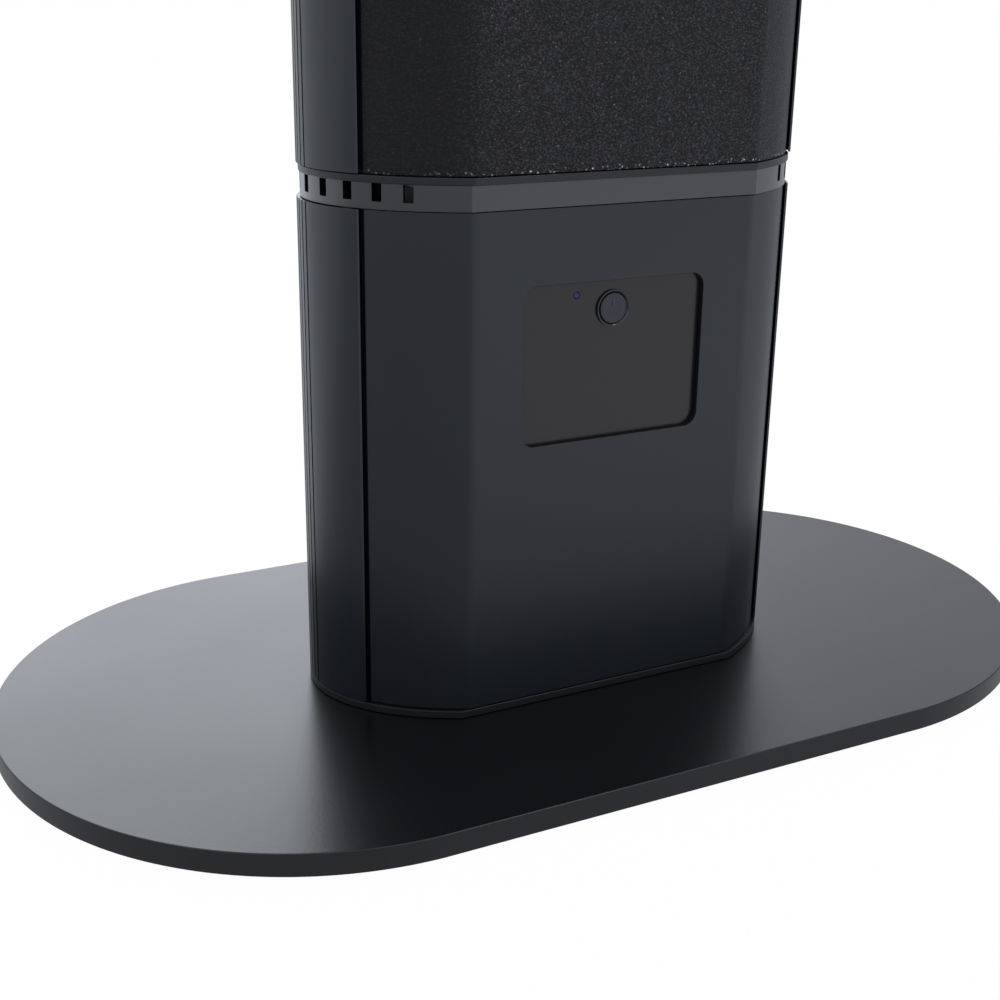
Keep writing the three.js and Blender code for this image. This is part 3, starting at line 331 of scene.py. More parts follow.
# %% Powder coat of the plate
def powder_coat():
    finish = Finish("plate_coat")
    patches = finish.noise(0.10, 4)
    leather = finish.cells(0.0016, feature="SMOOTH_F1") + 0.6 * finish.noise(0.0008, 2)
    dust = finish.ramp(finish.noise(0.003, 4, 0.7), 0.68, 0.8)
    colour = finish.mix(patches, grey(0.002, 0.6), grey(0.004, 0.6))
    finish.set("Base Color", finish.mix(dust * 0.1, colour, grey(0.04)))
    finish.set("Roughness", 0.26 + 0.08 * patches + 0.04 * dust)
    finish.relief(leather, 0.00002)
    return finish


plate_black = powder_coat()
print("Coat:", plate_black.material.name)


# %% [markdown]
# The guard is mesh so fine that single wires can't be seen from a step away. What shows is a restless
# sparkle. Fine noise gives the grain, and cells give single glints that are painted highlights: bright
# specks in the colour. Fewer glints are painted on the left cheek, whose grain is painted darker there as
# shade, and more along the lower edge, where the mesh is folded under.


# %% Fine mesh of the guard
HEM = 3.2 * MM
# The left cheek is painted darker as shade: in full from the first X outwards, fading out by the second.
PAINTED_SHADE_FULL = -88 * MM  # the left cheek is in full shade from here outwards
PAINTED_SHADE_ENDS = -64 * MM


def fine_mesh(lowest):
    finish = Finish("mesh_cloth", Specular_IOR_Level=0.23)
    grain = finish.noise(0.0010, 3, 0.8)
    strokes = finish.noise(0.0007, 2, 0.7, finish.stretched(0.55, 0.55, 1))
    hem = finish.ramp(finish.along("Z", finish.place), lowest + HEM, lowest + 0.3 * HEM)
    # 1 outside the painted shade and 0 on the left cheek; it darkens the grain and thins the painted glints.
    outside_painted_shade = finish.ramp(finish.along("X", finish.place), PAINTED_SHADE_FULL, PAINTED_SHADE_ENDS)
    # The mesh's grain, painted darker on the left cheek as shade.
    weave_and_painted_shade = finish.ramp(grain * 0.5 + strokes * 0.5, 0.45, 0.64) * (0.2 + 0.8 * outside_painted_shade)
    glint = finish.ramp(grain * 0.55 + strokes * 0.45 + 0.12 * hem, 0.56, 0.70)
    # Painted highlights: bright specks where the grain peaks near a cell's middle, more of them on the hem.
    painted_sparks = glint * finish.ramp(finish.cells(0.0017), 0.42, 0.12)
    tint = finish.mix(finish.noise(0.02), (0.056, 0.046, 0.062, 1), (0.042, 0.052, 0.052, 1))
    cloth_and_painted_shade = finish.mix(weave_and_painted_shade, grey(0.001), tint)
    # How strongly the painted highlights show: stronger on the hem, weaker in the left cheek's painted shade.
    painted_glints = painted_sparks * (0.4 + 0.6 * hem) * (0.25 + 0.75 * outside_painted_shade)
    finish.set("Base Color", finish.mix(painted_glints, cloth_and_painted_shade, grey(0.8, 0.1)))
    finish.set("Roughness", 0.42 - 0.14 * glint)
    finish.relief(grain + strokes, 0.00035)
    return finish


guard_mesh = fine_mesh(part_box("mesh_guard")[0].z)
print("Mesh:", guard_mesh.material.name)


# %% [markdown]
# The window is a smooth plastic that looks opaque and passes the remote control's light. The ring is
# polished and the indicator glows faintly. The pads are rubber. The metals, the lamps' quartz and the
# rest belong to pieces inside, which show when the tower is taken apart.


# %% Plastics and lights
def plain(name, colour, roughness, spread=0.12, grain=0.0008, depth=0.00001, **fixed):
    """A finish with a faint change of colour, gloss and relief. `fixed` holds what is the same all over."""
    finish = Finish(name, **fixed)
    patches = finish.noise(0.03, 3)
    speck = finish.noise(grain, 2)
    darker = tuple(channel * (1 - spread) for channel in colour[:3]) + (1,)
    finish.set("Base Color", finish.mix(patches, darker, colour))
    finish.set("Roughness", roughness + 0.06 * speck)
    finish.relief(speck, depth)
    return finish


window_smoke = plain(
    "window_smoke", (0.008, 0.006, 0.0055, 1), 0.22, depth=0.000003, Specular_IOR_Level=0.45,
)
ring_gloss = plain("ring_gloss", (0.012, 0.013, 0.022, 1), 0.10, depth=0.000001)
button_smoke = plain("button_smoke", (0.006, 0.007, 0.014, 1), 0.14, depth=0.000001)
symbol_print = plain("symbol_print", (0.016, 0.019, 0.040, 1), 0.3)
pad_rubber = plain("pad_rubber", (0.018, 0.018, 0.018, 1), 0.8, grain=0.0015, depth=0.00006)
lens_blue = plain(
    "lens_blue", (0.006, 0.004, 0.04, 1), 0.4,
    Emission_Color=(0.006, 0.002, 0.07, 1), Emission_Strength=0.6,
)
zinc_plate = plain("zinc_plate", (0.62, 0.63, 0.66, 1), 0.32, Metallic=1)
sheet_zinc = plain("sheet_zinc", (0.52, 0.53, 0.55, 1), 0.42, 0.25, 0.004, 0.00001, Metallic=1)
bright_sheet = plain("bright_sheet", (0.88, 0.89, 0.9, 1), 0.12, grain=0.003, Metallic=1)
lamp_quartz = plain("lamp_quartz", (0.95, 0.93, 0.9, 1), 0.02, Transmission_Weight=0.95, IOR=1.46)
lamp_carbon = plain("lamp_carbon", (0.03, 0.027, 0.025, 1), 0.6, grain=0.0005, depth=0.0001)
lamp_ceramic = plain("lamp_ceramic", (0.8, 0.77, 0.7, 1), 0.7, grain=0.0005, depth=0.00003)
woven_sleeve = plain("woven_sleeve", (0.72, 0.70, 0.64, 1), 0.8, grain=0.0006, depth=0.00015)
relay_blue = plain("relay_blue", (0.03, 0.13, 0.45, 1), 0.35)
terminal_grey = plain("terminal_grey", (0.3, 0.33, 0.35, 1), 0.5)

# %% [markdown]
# The control board is lacquered green over copper tracks, which run straight in both directions. Noise
# that is drawn out one way gives tracks along the board, and the same noise drawn out the other way gives
# those across.


# %% Lacquer of the board
def board_lacquer():
    finish = Finish("board_lacquer")
    along = finish.noise(0.004, 1, 0.5, finish.stretched(0.1, 1, 1))
    across = finish.noise(0.004, 1, 0.5, finish.stretched(1, 1, 0.1))
    track = finish.ramp(along.math("MAXIMUM", across), 0.55, 0.57)
    finish.set("Base Color", finish.mix(track, (0.012, 0.12, 0.05, 1), (0.03, 0.26, 0.1, 1)))
    finish.set("Roughness", 0.32 + 0.08 * track)
    finish.relief(track, 0.00004)
    return finish


board_green = board_lacquer()
print(len(bpy.data.materials), "finishes")

# %% [markdown]
# ## Tools for modelling
# Each piece starts as a primitive and is shaped in edit mode. What is shaped next is selected by its
# place or its direction. A finished piece has its place in its mesh and its own origin at the scene's
# origin.


# %% Selecting and editing
def deselect():
    if bpy.context.object and bpy.context.object.mode == "EDIT":
        bpy.ops.object.mode_set(mode="OBJECT")
    bpy.ops.object.select_all(action="DESELECT")


def take(*pieces):
    """Selects these pieces and nothing else. The first one is the active one."""
    deselect()
    for piece in pieces:
        piece.select_set(True)
    bpy.context.view_layer.objects.active = pieces[0]


def edit(piece):
    """Nothing but this piece is selected, and it is in edit mode."""
    take(piece)
    bpy.ops.object.mode_set(mode="EDIT")


def start(name):
    """The primitive that was just added becomes a piece with this name, in edit mode."""
    piece = bpy.context.object
    piece.name = name
    piece.data.name = name
    bpy.ops.object.transform_apply(location=True, rotation=True, scale=True)
    bpy.ops.object.mode_set(mode="EDIT")
    return piece


def choose(kind, test):
    """Selects the verts, edges or faces that pass the test, and nothing else."""
    bpy.ops.mesh.select_mode(type={"verts": "VERT", "edges": "EDGE", "faces": "FACE"}[kind])
    bpy.ops.mesh.select_all(action="DESELECT")
    mesh = bpy.context.object.data
    work = bmesh.from_edit_mesh(mesh)
    for item in getattr(work, kind):
        if test(item):
            item.select_set(True)
    bmesh.update_edit_mesh(mesh)


def extrude(x=0.0, y=0.0, z=0.0):
    """Extrudes what is selected and moves the new part."""
    bpy.ops.mesh.extrude_region_move(TRANSFORM_OT_translate={"value": (x, y, z)})


def outward(piece):
    """Turns every face outwards and leaves edit mode."""
    bpy.ops.mesh.select_all(action="SELECT")
    bpy.ops.mesh.remove_doubles(threshold=1e-6)
    bpy.ops.mesh.normals_make_consistent(inside=False)
    bpy.ops.object.mode_set(mode="OBJECT")
    return piece


def modifier(piece, kind, **settings):
    """Adds a modifier and applies it."""
    take(piece)
    added = piece.modifiers.new(kind.lower(), kind)
    for name, setting in settings.items():
        setattr(added, name, setting)
    bpy.ops.object.modifier_apply(modifier=added.name)


def combine(piece, operation, *tools):
    """Joins the tools to the piece or cuts them from it, one after the other."""
    for tool in tools:
        modifier(piece, "BOOLEAN", object=tool, operation=operation, solver="EXACT")
        bpy.data.objects.remove(tool)


def together(pieces):
    """Several separate solids become one object."""
    take(*pieces)
    bpy.ops.object.join()
    return pieces[0]


SHARP = math.radians(20)  # a bend sharper than this shows as an edge


def rounded(piece, width, steps=3):
    """The piece with its sharp edges rounded."""
    modifier(piece, "BEVEL", width=width, segments=steps, limit_method="ANGLE", angle_limit=SHARP)
    return piece


def hand_over(piece, finish, slot, *nodes, body="tower"):
    """The finished piece is shaded, gets its finish, stands for its exact nodes and moves with its body."""
    assert piece.data.polygons, piece.name
    take(piece)
    bpy.ops.object.shade_smooth_by_angle(angle=SHARP)
    modifier(piece, "WEIGHTED_NORMAL", keep_sharp=True)
    piece.data.materials.clear()
    piece.data.materials.append(finish.material)
    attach(piece, body)
    if nodes:
        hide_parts(*nodes)
    print(piece.name, "has", len(piece.data.polygons), "faces")
    return piece


# %% [markdown]
# Many tools and details are round or rounded. An upright rod is a cylinder. A rounded block starts as a
# plane that faces the front: its corners are bevelled and it is deepened. A turned piece starts as a
# circle, which is extruded and resized from step to step, towards the front or the rear.


# %% Rods, rounded blocks and turned pieces
def rod(x, y, radius, low, high, sides=48):
    """An upright cylinder between two levels."""
    deselect()
    middle = (x, y, (low + high) / 2)
    bpy.ops.mesh.primitive_cylinder_add(vertices=sides, radius=radius, depth=high - low, location=middle)
    return outward(start("rod"))


def rods(places, radius, low, high, sides=48):
    """One object with a rod at each place."""
    return together([rod(x, y, radius, low, high, sides) for x, y in places])


def rounded_block(name, size, radius, middle, depth):
    """A block with rounded corners, `size` wide and high, deepened from `middle` to the rear."""
    deselect()
    bpy.ops.mesh.primitive_plane_add(size=1, location=middle, rotation=(math.pi / 2, 0, 0))
    bpy.context.object.scale = (size[0], size[1], 1)
    block = start(name)
    choose("verts", lambda vertex: True)
    bpy.ops.mesh.bevel(affect="VERTICES", offset=radius, segments=10)
    choose("faces", lambda face: True)
    extrude(y=depth)
    return outward(block)


def turned(name, profile, axis, sides=64, filled=True):
    """A piece that is round about a line to the rear through `axis`, from (radius, depth) steps.

    A filled piece is closed at both ends. One that isn't has a bore, and its last step is its first again.
    """
    x, y, z = axis
    radius, depth = profile[0]
    deselect()
    bpy.ops.mesh.primitive_circle_add(
        vertices=sides, radius=radius, fill_type="NGON" if filled else "NOTHING",
        location=(x, y + depth, z), rotation=(math.pi / 2, 0, 0),
    )
    piece = start(name)
    choose("faces" if filled else "edges", lambda item: True)
    for next_radius, next_depth in profile[1:]:
        extrude(y=next_depth - depth)
        ratio = next_radius / radius
        bpy.ops.transform.resize(value=(ratio, 1, ratio), center_override=(x, y + next_depth, z))
        radius, depth = next_radius, next_depth
    return outward(piece)


# %% [markdown]
# ## Base plate
# The plate is a slab of steel with round ends. A circle is cut in two halves that are pulled apart, the
# face is raised, and the sharp rims get a fine round. The heads of four bolts lie in recesses underneath.

# %% Model the plate
BOLT_PLACES = [(x * 78 * MM, y * 34 * MM) for x in (-1, 1) for y in (-1, 1)]
BOLT_RECESS_RADIUS = 7.1 * MM
BOLT_RECESS_DEPTH = 6.2 * MM
BOLT_HOLE_RADIUS = 3.6 * MM
PLATE_STEPS = 254
PLATE_ROUND = 0.7 * MM
CLEAR = MM  # how far a cutting piece reaches past what it cuts

plate_low, plate_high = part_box("base_plate")
end_radius = (plate_high.y - plate_low.y) / 2
pull = plate_high.x - end_radius

deselect()
bpy.ops.mesh.primitive_circle_add(
    vertices=PLATE_STEPS, radius=end_radius, fill_type="NGON", location=(0, 0, plate_low.z),
)
plate = start("plate")
for side in (-1, 1):
    choose("verts", lambda vertex: vertex.co.x * side > 0)
    bpy.ops.transform.translate(value=(side * pull, 0, 0))
choose("faces", lambda face: True)
extrude(z=plate_high.z - plate_low.z)
rounded(outward(plate), PLATE_ROUND)
recess_top = plate_low.z + BOLT_RECESS_DEPTH
combine(
    plate, "DIFFERENCE",
    rods(BOLT_PLACES, BOLT_RECESS_RADIUS, plate_low.z - CLEAR, recess_top),
    rods(BOLT_PLACES, BOLT_HOLE_RADIUS, recess_top - CLEAR, plate_high.z + CLEAR),
)
hand_over(plate, plate_black, "plate_coat", "base_plate")

# %% [markdown]
# ## The tower's plan
# All of the tower follows one plan: an ellipse with its front and its rear cut flat. A circle is squeezed
# to the ellipse and its flats are cut. Most pieces are such ovals of different sizes, raised to blocks
# and then joined or cut from each other.

# %% Ovals and blocks with the tower's plan
MIDDLE_Y = -5 * MM
HALF_WIDTH = 129 * MM
HALF_DEPTH = 78.3 * MM
FRONT = MIDDLE_Y - 63.5 * MM
REAR = MIDDLE_Y + 63.5 * MM
OVAL_STEPS = 308
SHEET_ROUND = 0.3 * MM  # the edges of the shells, covers and guard


def oval(name, grow, level, front=None, rear=None):
    """A flat face with the tower's plan, `grow` larger all round, from `front` to `rear`, in edit mode."""
    deselect()
    middle = (0, MIDDLE_Y, level)
    bpy.ops.mesh.primitive_circle_add(vertices=OVAL_STEPS, radius=1, fill_type="NGON", location=middle)
    piece = start(name)
    bpy.ops.mesh.select_all(action="SELECT")
    bpy.ops.transform.resize(value=(HALF_WIDTH + grow, HALF_DEPTH + grow, 1), center_override=middle)
    cut_flat(FRONT - grow if front is None else front, -1)
    cut_flat(REAR + grow if rear is None else rear, 1)
    return piece


def cut_flat(y, side):
    """Cuts off what lies beyond y on that side."""
    bpy.ops.mesh.select_all(action="SELECT")
    bpy.ops.mesh.bisect(plane_co=(0, y, 0), plane_no=(0, side, 0), clear_outer=True)


def oval_block(grow, low, high, front=None, rear=None, name="block"):
    """A solid with the tower's plan between two levels."""
    block = oval(name, grow, low, front, rear)
    choose("faces", lambda face: True)
    extrude(z=high - low)
    return outward(block)


print("The tower is", round(2 * HALF_WIDTH, 3), "m wide and its flats are", round(REAR - FRONT, 3), "m apart")

# %% [markdown]
# Grooves and slots lie square to the curved flanks. Their places are found by walking along the ellipse
# in small steps of its angle.


# %% Places along the flanks
def flank_place(angle, grow=0.0):
    """A point of the right flank at this angle of the ellipse, and the direction square to it there."""
    width = HALF_WIDTH + grow
    depth = HALF_DEPTH + grow
    x = width * math.cos(angle)
    y = depth * math.sin(angle)
    return x, MIDDLE_Y + y, math.atan2(y / depth**2, x / width**2)


def walk(distance, step=0.0005):
    """The angle that lies this far along the flank from its middle."""
    angle = 0.0
    gone = 0.0
    while gone < abs(distance):
        gone += step * math.hypot(HALF_WIDTH * math.sin(angle), HALF_DEPTH * math.cos(angle))
        angle += step
    return math.copysign(angle, distance)


def flank_boxes(angles, grow, size, level):
    """Boxes square to both flanks, `size` deep, wide and high, with their middles on the surface."""
    boxes = []
    for angle in angles:
        x, y, square = flank_place(angle, grow)
        for side in (-1, 1):
            deselect()
            turn = square if side > 0 else math.pi - square
            bpy.ops.mesh.primitive_cube_add(size=1, location=(side * x, y, level), rotation=(0, 0, turn))
            bpy.context.object.scale = size
            boxes.append(outward(start("box")))
    return together(boxes)


# %% [markdown]
# ## Rear shells
# The shells are extrusions. An outer block is rounded at its edges and grooved. A second block cuts the
# channel behind its thin front edges, a third adds the ledges that the front covers lap over, and two
# more hollow it. Four tubes take the screws that hold the sections together.

# %% Model the shells
SHELL_PROUD = 2.5 * MM  # how far the shells stand out beside the covers
SHELL_EDGE = -38.8 * MM  # Y of the shells' front edges
SHELL_LIP = 1 * MM  # thickness of the front edges
CHANNEL_BACK = -31.5 * MM  # Y of the channel's bottom
LEDGE_ROOT = -26.5 * MM  # Y where the ledges begin
LEDGE_EDGE = -51 * MM  # Y of the ledges' front edges
LEDGE_SUNK = 2.3 * MM  # how far the ledges lie under the covers' faces
LEDGE_WALL = 2.2 * MM
LEDGE_ROUND = 0.2 * MM
GROOVES = [y * MM for y in (10.9, 6.3, 1.7, -2.9, -7.5)]  # Y of their middles
GROOVE_SIZE = (1.6 * MM, 1.2 * MM)  # deep and wide
PORT_RADIUS = 4.6 * MM
PORT_SIDES = 32
SCREW_HOLE = 2 * MM
HOLE_SIDES = 24
PORT_INSET = 3.8 * MM
FRONT_PORT_Y = -26.3 * MM
REAR_PORT = (60 * MM, 54.7 * MM)

port_angle = math.asin((FRONT_PORT_Y - MIDDLE_Y) / (HALF_DEPTH - PORT_INSET))
port_x = flank_place(port_angle, -PORT_INSET)[0]
PORTS = [(side * x, y) for x, y in ((port_x, FRONT_PORT_Y), REAR_PORT) for side in (-1, 1)]


def levels(node):
    """The lowest and the highest level of an exact node."""
    return [corner.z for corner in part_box(node)]


def rear_shell(name, node):
    low, high = levels(node)
    cut_low, cut_high = low - CLEAR, high + CLEAR
    shell = rounded(oval_block(SHELL_PROUD, low, high, front=SHELL_EDGE, name=name), SHEET_ROUND)
    angles = [math.asin((y - MIDDLE_Y) / (HALF_DEPTH + SHELL_PROUD)) for y in GROOVES]
    size = (*GROOVE_SIZE, high - low + 2 * CLEAR)
    combine(shell, "DIFFERENCE", flank_boxes(angles, SHELL_PROUD, size, (low + high) / 2))
    channel = oval_block(SHELL_PROUD - SHELL_LIP, cut_low, cut_high, rear=CHANNEL_BACK)
    combine(shell, "DIFFERENCE", channel)
    ledges = rounded(oval_block(-LEDGE_SUNK, low, high, front=LEDGE_EDGE), LEDGE_ROUND)
    combine(shell, "UNION", ledges)
    room = oval_block(0, cut_low, cut_high, front=LEDGE_ROOT)
    between_ledges = oval_block(-LEDGE_SUNK - LEDGE_WALL, cut_low, cut_high, front=LEDGE_EDGE - CLEAR)
    combine(shell, "DIFFERENCE", room, between_ledges)
    combine(shell, "UNION", rods(PORTS, PORT_RADIUS, low, high, PORT_SIDES))
    combine(shell, "DIFFERENCE", rods(PORTS, SCREW_HOLE, cut_low, cut_high, HOLE_SIDES))
    return shell


lower_shell = rear_shell("lower_shell", "lower_rear_shell")

# %% [markdown]
# The lower shell has a round hole for the cable gland, square to its rear face.

# %% Drill the lower shell
INLET_RADIUS = 8.3 * MM
INLET_DEPTHS = (-6 * MM, 4 * MM)

gland_low, gland_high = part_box("cable_gland")
GLAND = ((gland_low.x + gland_high.x) / 2, REAR + SHELL_PROUD, (gland_low.z + gland_high.z) / 2)
inlet = turned("inlet", [(INLET_RADIUS, depth) for depth in INLET_DEPTHS], GLAND)
combine(lower_shell, "DIFFERENCE", inlet)
hand_over(lower_shell, shell_coat, "shell_coat", "lower_rear_shell")

# %% [markdown]
# The upper shell has cooling slots in its rear face, in two columns near each end. One slot is arrayed in
# three directions: down a column, across to the other column, and up to the other end.

# %% Cut the cooling slots of the upper shell
SLOT_MIDDLE = (-30 * MM, REAR - 2 * MM)  # X, and Y of the block's front face
SLOT_SIZE = (44 * MM, 4 * MM)
SLOT_ROUND = 1.95 * MM
SLOT_DEPTH = 6 * MM
SLOT_MARGIN = 60 * MM  # from the shell's end to the middle of the first slot
SLOT_PITCH = 11 * MM
SLOT_COUNT = 4
COLUMN_PITCH = 60 * MM

upper_shell = rear_shell("upper_shell", "upper_rear_shell")
upper_low, upper_high = levels("upper_rear_shell")
slot_place = (*SLOT_MIDDLE, upper_low + SLOT_MARGIN)
slots = rounded_block("slots", SLOT_SIZE, SLOT_ROUND, slot_place, SLOT_DEPTH)
far_end = upper_high - upper_low - 2 * SLOT_MARGIN - (SLOT_COUNT - 1) * SLOT_PITCH
for count, offset in ((SLOT_COUNT, (0, 0, SLOT_PITCH)), (2, (COLUMN_PITCH, 0, 0)), (2, (0, 0, far_end))):
    modifier(
        slots, "ARRAY", count=count, use_relative_offset=False, use_constant_offset=True,
        constant_offset_displace=offset,
    )
combine(upper_shell, "DIFFERENCE", slots)
hand_over(upper_shell, shell_coat, "shell_coat", "upper_rear_shell")

# %% [markdown]
# ## Front covers
# A front cover is a bent sheet: a flat front between two curved cheeks. It starts as the outline of the
# oval alone. Points close to the corners are dissolved, to make room for the bends. The outline is opened
# at the rear and raised to a sheet, the two bends are rounded, and the sheet gets its wall on the inside.

# %% Bend a sheet
PANEL_EDGE = -39.3 * MM  # Y of the sheet's rear edges
PANEL_WALL = 2 * MM
BEND_REACH = 2.4 * MM  # how far from the corner a bend begins
BEND_STEPS = 6
BEND_ROOM = MM  # points less far behind the front than this make room for the bends
SMALL = 0.01 * MM  # less than this counts as no distance


def is_bend(edge):
    """Whether the edge is one of the two upright corners of the front."""
    first, second = (vertex.co for vertex in edge.verts)
    return abs(first.z - second.z) > SMALL and max(first.y, second.y) < FRONT + SMALL


def bent_sheet(name, node):
    low, high = levels(node)
    sheet = oval(name, 0, low, rear=PANEL_EDGE)
    choose("verts", lambda vertex: SMALL < vertex.co.y - FRONT < BEND_ROOM)
    bpy.ops.mesh.dissolve_verts()
    choose("faces", lambda face: True)
    bpy.ops.mesh.delete(type="ONLY_FACE")
    choose("edges", lambda edge: all(vertex.co.y > PANEL_EDGE - SMALL for vertex in edge.verts))
    bpy.ops.mesh.delete(type="EDGE")
    bpy.ops.mesh.select_all(action="SELECT")
    extrude(z=high - low)
    bpy.ops.mesh.select_all(action="SELECT")
    bpy.ops.mesh.normals_make_consistent(inside=False)
    choose("edges", is_bend)
    bpy.ops.mesh.bevel(offset=BEND_REACH, segments=BEND_STEPS)
    bpy.ops.object.mode_set(mode="OBJECT")
    face_front(sheet)
    modifier(sheet, "SOLIDIFY", thickness=PANEL_WALL, offset=-1, use_even_offset=True)
    return rounded(sheet, SHEET_ROUND)


def face_front(sheet):
    """Turns the sheet's faces so that its flat front looks forwards."""
    front = min(sheet.data.polygons, key=lambda face: face.center.y)
    if front.normal.y > 0:
        edit(sheet)
        bpy.ops.mesh.select_all(action="SELECT")
        bpy.ops.mesh.flip_normals()
        bpy.ops.object.mode_set(mode="OBJECT")


# %% [markdown]
# The lower cover has a rounded opening with a rim that is turned inwards. The rim is joined on from
# behind as a rounded block, and a smaller block cuts the opening through both. The opening's front edge
# is then rounded.

# %% Model the lower cover
WINDOW_LEVEL = 187.4 * MM
WINDOW_SIZE = (99 * MM, 77 * MM)
WINDOW_RADIUS = 7 * MM
RIM_DEPTH = 2.8 * MM
RIM_WALL = 1.6 * MM
OPENING_ROUND = 0.35 * MM

cover = bent_sheet("lower_cover", "lower_front_cover")
rim_front = (0, FRONT + PANEL_WALL / 2, WINDOW_LEVEL)
rim_size = tuple(side + 2 * RIM_WALL for side in WINDOW_SIZE)
rim = rounded_block("rim", rim_size, WINDOW_RADIUS + RIM_WALL, rim_front, RIM_DEPTH - PANEL_WALL / 2)
combine(cover, "UNION", rim)
before = (0, FRONT - CLEAR, WINDOW_LEVEL)
opening = rounded_block("opening", WINDOW_SIZE, WINDOW_RADIUS, before, RIM_DEPTH + 2 * CLEAR)
combine(cover, "DIFFERENCE", opening)


def in_opening(vertex):
    """Whether the vertex lies on the front edge of the window's opening."""
    beside = abs(vertex.co.x) < WINDOW_SIZE[0] / 2 + SMALL
    level = abs(vertex.co.z - WINDOW_LEVEL) < WINDOW_SIZE[1] / 2 + SMALL
    return beside and level and vertex.co.y < FRONT + SMALL


edit(cover)
choose("edges", lambda edge: all(in_opening(vertex) for vertex in edge.verts))
bpy.ops.mesh.bevel(offset=OPENING_ROUND, segments=3)
bpy.ops.object.mode_set(mode="OBJECT")
hand_over(cover, cover_coat, "black_coat", "lower_front_cover")

# %% [markdown]
# The guard in front of the heating lamps is a sheet of the same bend. Its fine mesh is in its finish.

# %% Model the guard
hand_over(bent_sheet("guard", "mesh_guard"), guard_mesh, "mesh_black", "mesh_guard")

# %% [markdown]
# ## Foot ring
# The foot ring is a low tray. Its edge stands out a little under the covers. A ring of thin wall, the
# spigot, holds the lower section in place, and four bosses take the base bolts.

# %% Model the foot ring
SPIGOT_INSET = 5.2 * MM
SPIGOT_WALL = 2.2 * MM
SPIGOT_HEIGHT = 10 * MM
FOOT_FLOOR = 3.7 * MM
FOOT_PROUD = 0.8 * MM
FOOT_ROUND = 0.5 * MM
FOOT_BITE = 2 * MM  # the level inside the floor from which the spigot and the bosses rise
BOSS_RADIUS = 8.5 * MM
BOSS_HEIGHT = 16 * MM
PORT_ROOM = 0.6 * MM  # the gap round each port
HEAD_RADIUS = 3.9 * MM  # the recesses of the screws' heads
HEAD_DEPTH = 2.5 * MM


def spigot(low, high):
    """A thin ring of the tower's plan that leaves room for the screw ports."""
    ring = oval_block(-SPIGOT_INSET, low, high)
    inside = oval_block(-SPIGOT_INSET - SPIGOT_WALL, low - CLEAR, high + CLEAR)
    room = rods(PORTS, PORT_RADIUS + PORT_ROOM, low - CLEAR, high + CLEAR, PORT_SIDES)
    combine(ring, "DIFFERENCE", inside, room)
    return ring


foot_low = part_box("foot_ring")[0].z
foot_top = foot_low + FOOT_FLOOR
boss_top = foot_top + BOSS_HEIGHT
foot = oval_block(SHELL_PROUD, foot_low, foot_top, front=FRONT - FOOT_PROUD, name="foot")
rounded(foot, FOOT_ROUND)
combine(foot, "UNION", spigot(foot_low + FOOT_BITE, foot_top + SPIGOT_HEIGHT))
combine(foot, "UNION", rods(BOLT_PLACES, BOSS_RADIUS, foot_low + FOOT_BITE, boss_top))
combine(
    foot, "DIFFERENCE",
    rods(BOLT_PLACES, BOLT_HOLE_RADIUS, foot_low - CLEAR, boss_top + CLEAR, PORT_SIDES),
    rods(PORTS, SCREW_HOLE, foot_low - CLEAR, foot_top + CLEAR, HOLE_SIDES),
    rods(PORTS, HEAD_RADIUS, foot_low - CLEAR, foot_low + HEAD_DEPTH, PORT_SIDES),
)
hand_over(foot, moulded_black, "black_plastic", "foot_ring")

# %% [markdown]
# ## Vent collar and top cap
# Both have a thin band with nine slots on each flank, under a lip or lid that stands out over it. The
# collar has a floor below, with two holes for the lamps' leads, and spigots at both ends.

# %% Model the collar
BAND_HEIGHT = 11.6 * MM
BAND_WALL = 2.5 * MM
BAND_PROUD = 0.8 * MM  # how far the band stands out beside the covers
BAND_ROUND = 0.25 * MM
FLAT_PROUD = 0.3 * MM  # the band stands out less on its two flats
LIP_PROUD = 1.5 * MM
LIP_ROUND = 0.5 * MM
COLLAR_FLOOR = 3 * MM
RIM_WIDTH = 10 * MM
OVERLAP = MM  # how far a joined block reaches into its neighbour
VENT_SIZE = (10 * MM, 4.7 * MM, 8 * MM)
VENT_PITCH = 14.7 * MM
VENT_ANGLES = [walk(step * VENT_PITCH) for step in range(-4, 5)]
LEAD_HOLES = [(-26 * MM, 8 * MM), (26 * MM, 8 * MM)]
LEAD_HOLE_RADIUS = 9 * MM


def vents(band_top):
    """The blocks that cut the slots, down from the top of the band."""
    return flank_boxes(VENT_ANGLES, 0, VENT_SIZE, band_top - VENT_SIZE[2] / 2)


collar_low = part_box("vent_collar")[0].z + SPIGOT_HEIGHT
band_top = collar_low + BAND_HEIGHT
lip_top = band_top + LIP_HEIGHT
band_front, band_rear = FRONT - FLAT_PROUD, REAR + FLAT_PROUD
collar = oval_block(BAND_PROUD, collar_low, band_top + OVERLAP, band_front, band_rear, "collar")
rounded(collar, BAND_ROUND)
combine(collar, "UNION", rounded(oval_block(LIP_PROUD, band_top, lip_top), LIP_ROUND, 4))
combine(
    collar, "DIFFERENCE",
    oval_block(-BAND_WALL, collar_low + COLLAR_FLOOR, band_top),
    oval_block(-RIM_WIDTH, band_top - CLEAR, lip_top + CLEAR),
)
combine(collar, "UNION", spigot(collar_low - SPIGOT_HEIGHT, collar_low + OVERLAP))
combine(collar, "UNION", spigot(lip_top - OVERLAP, lip_top + SPIGOT_HEIGHT))
combine(
    collar, "DIFFERENCE",
    vents(band_top),
    rods(LEAD_HOLES, LEAD_HOLE_RADIUS, collar_low - CLEAR, collar_low + COLLAR_FLOOR + CLEAR),
    rods(PORTS, SCREW_HOLE, collar_low - CLEAR, lip_top + CLEAR, HOLE_SIDES),
)
hand_over(collar, collar_black, "black_plastic", "vent_collar")

# %% [markdown]
# The cap's lid is rounded at the top only, so just the edges of its top face are bevelled. The heads of
# four screws are sunk in it.

# %% Model the top cap
LID_HEIGHT = 7 * MM
LID_ROUND = 2 * MM

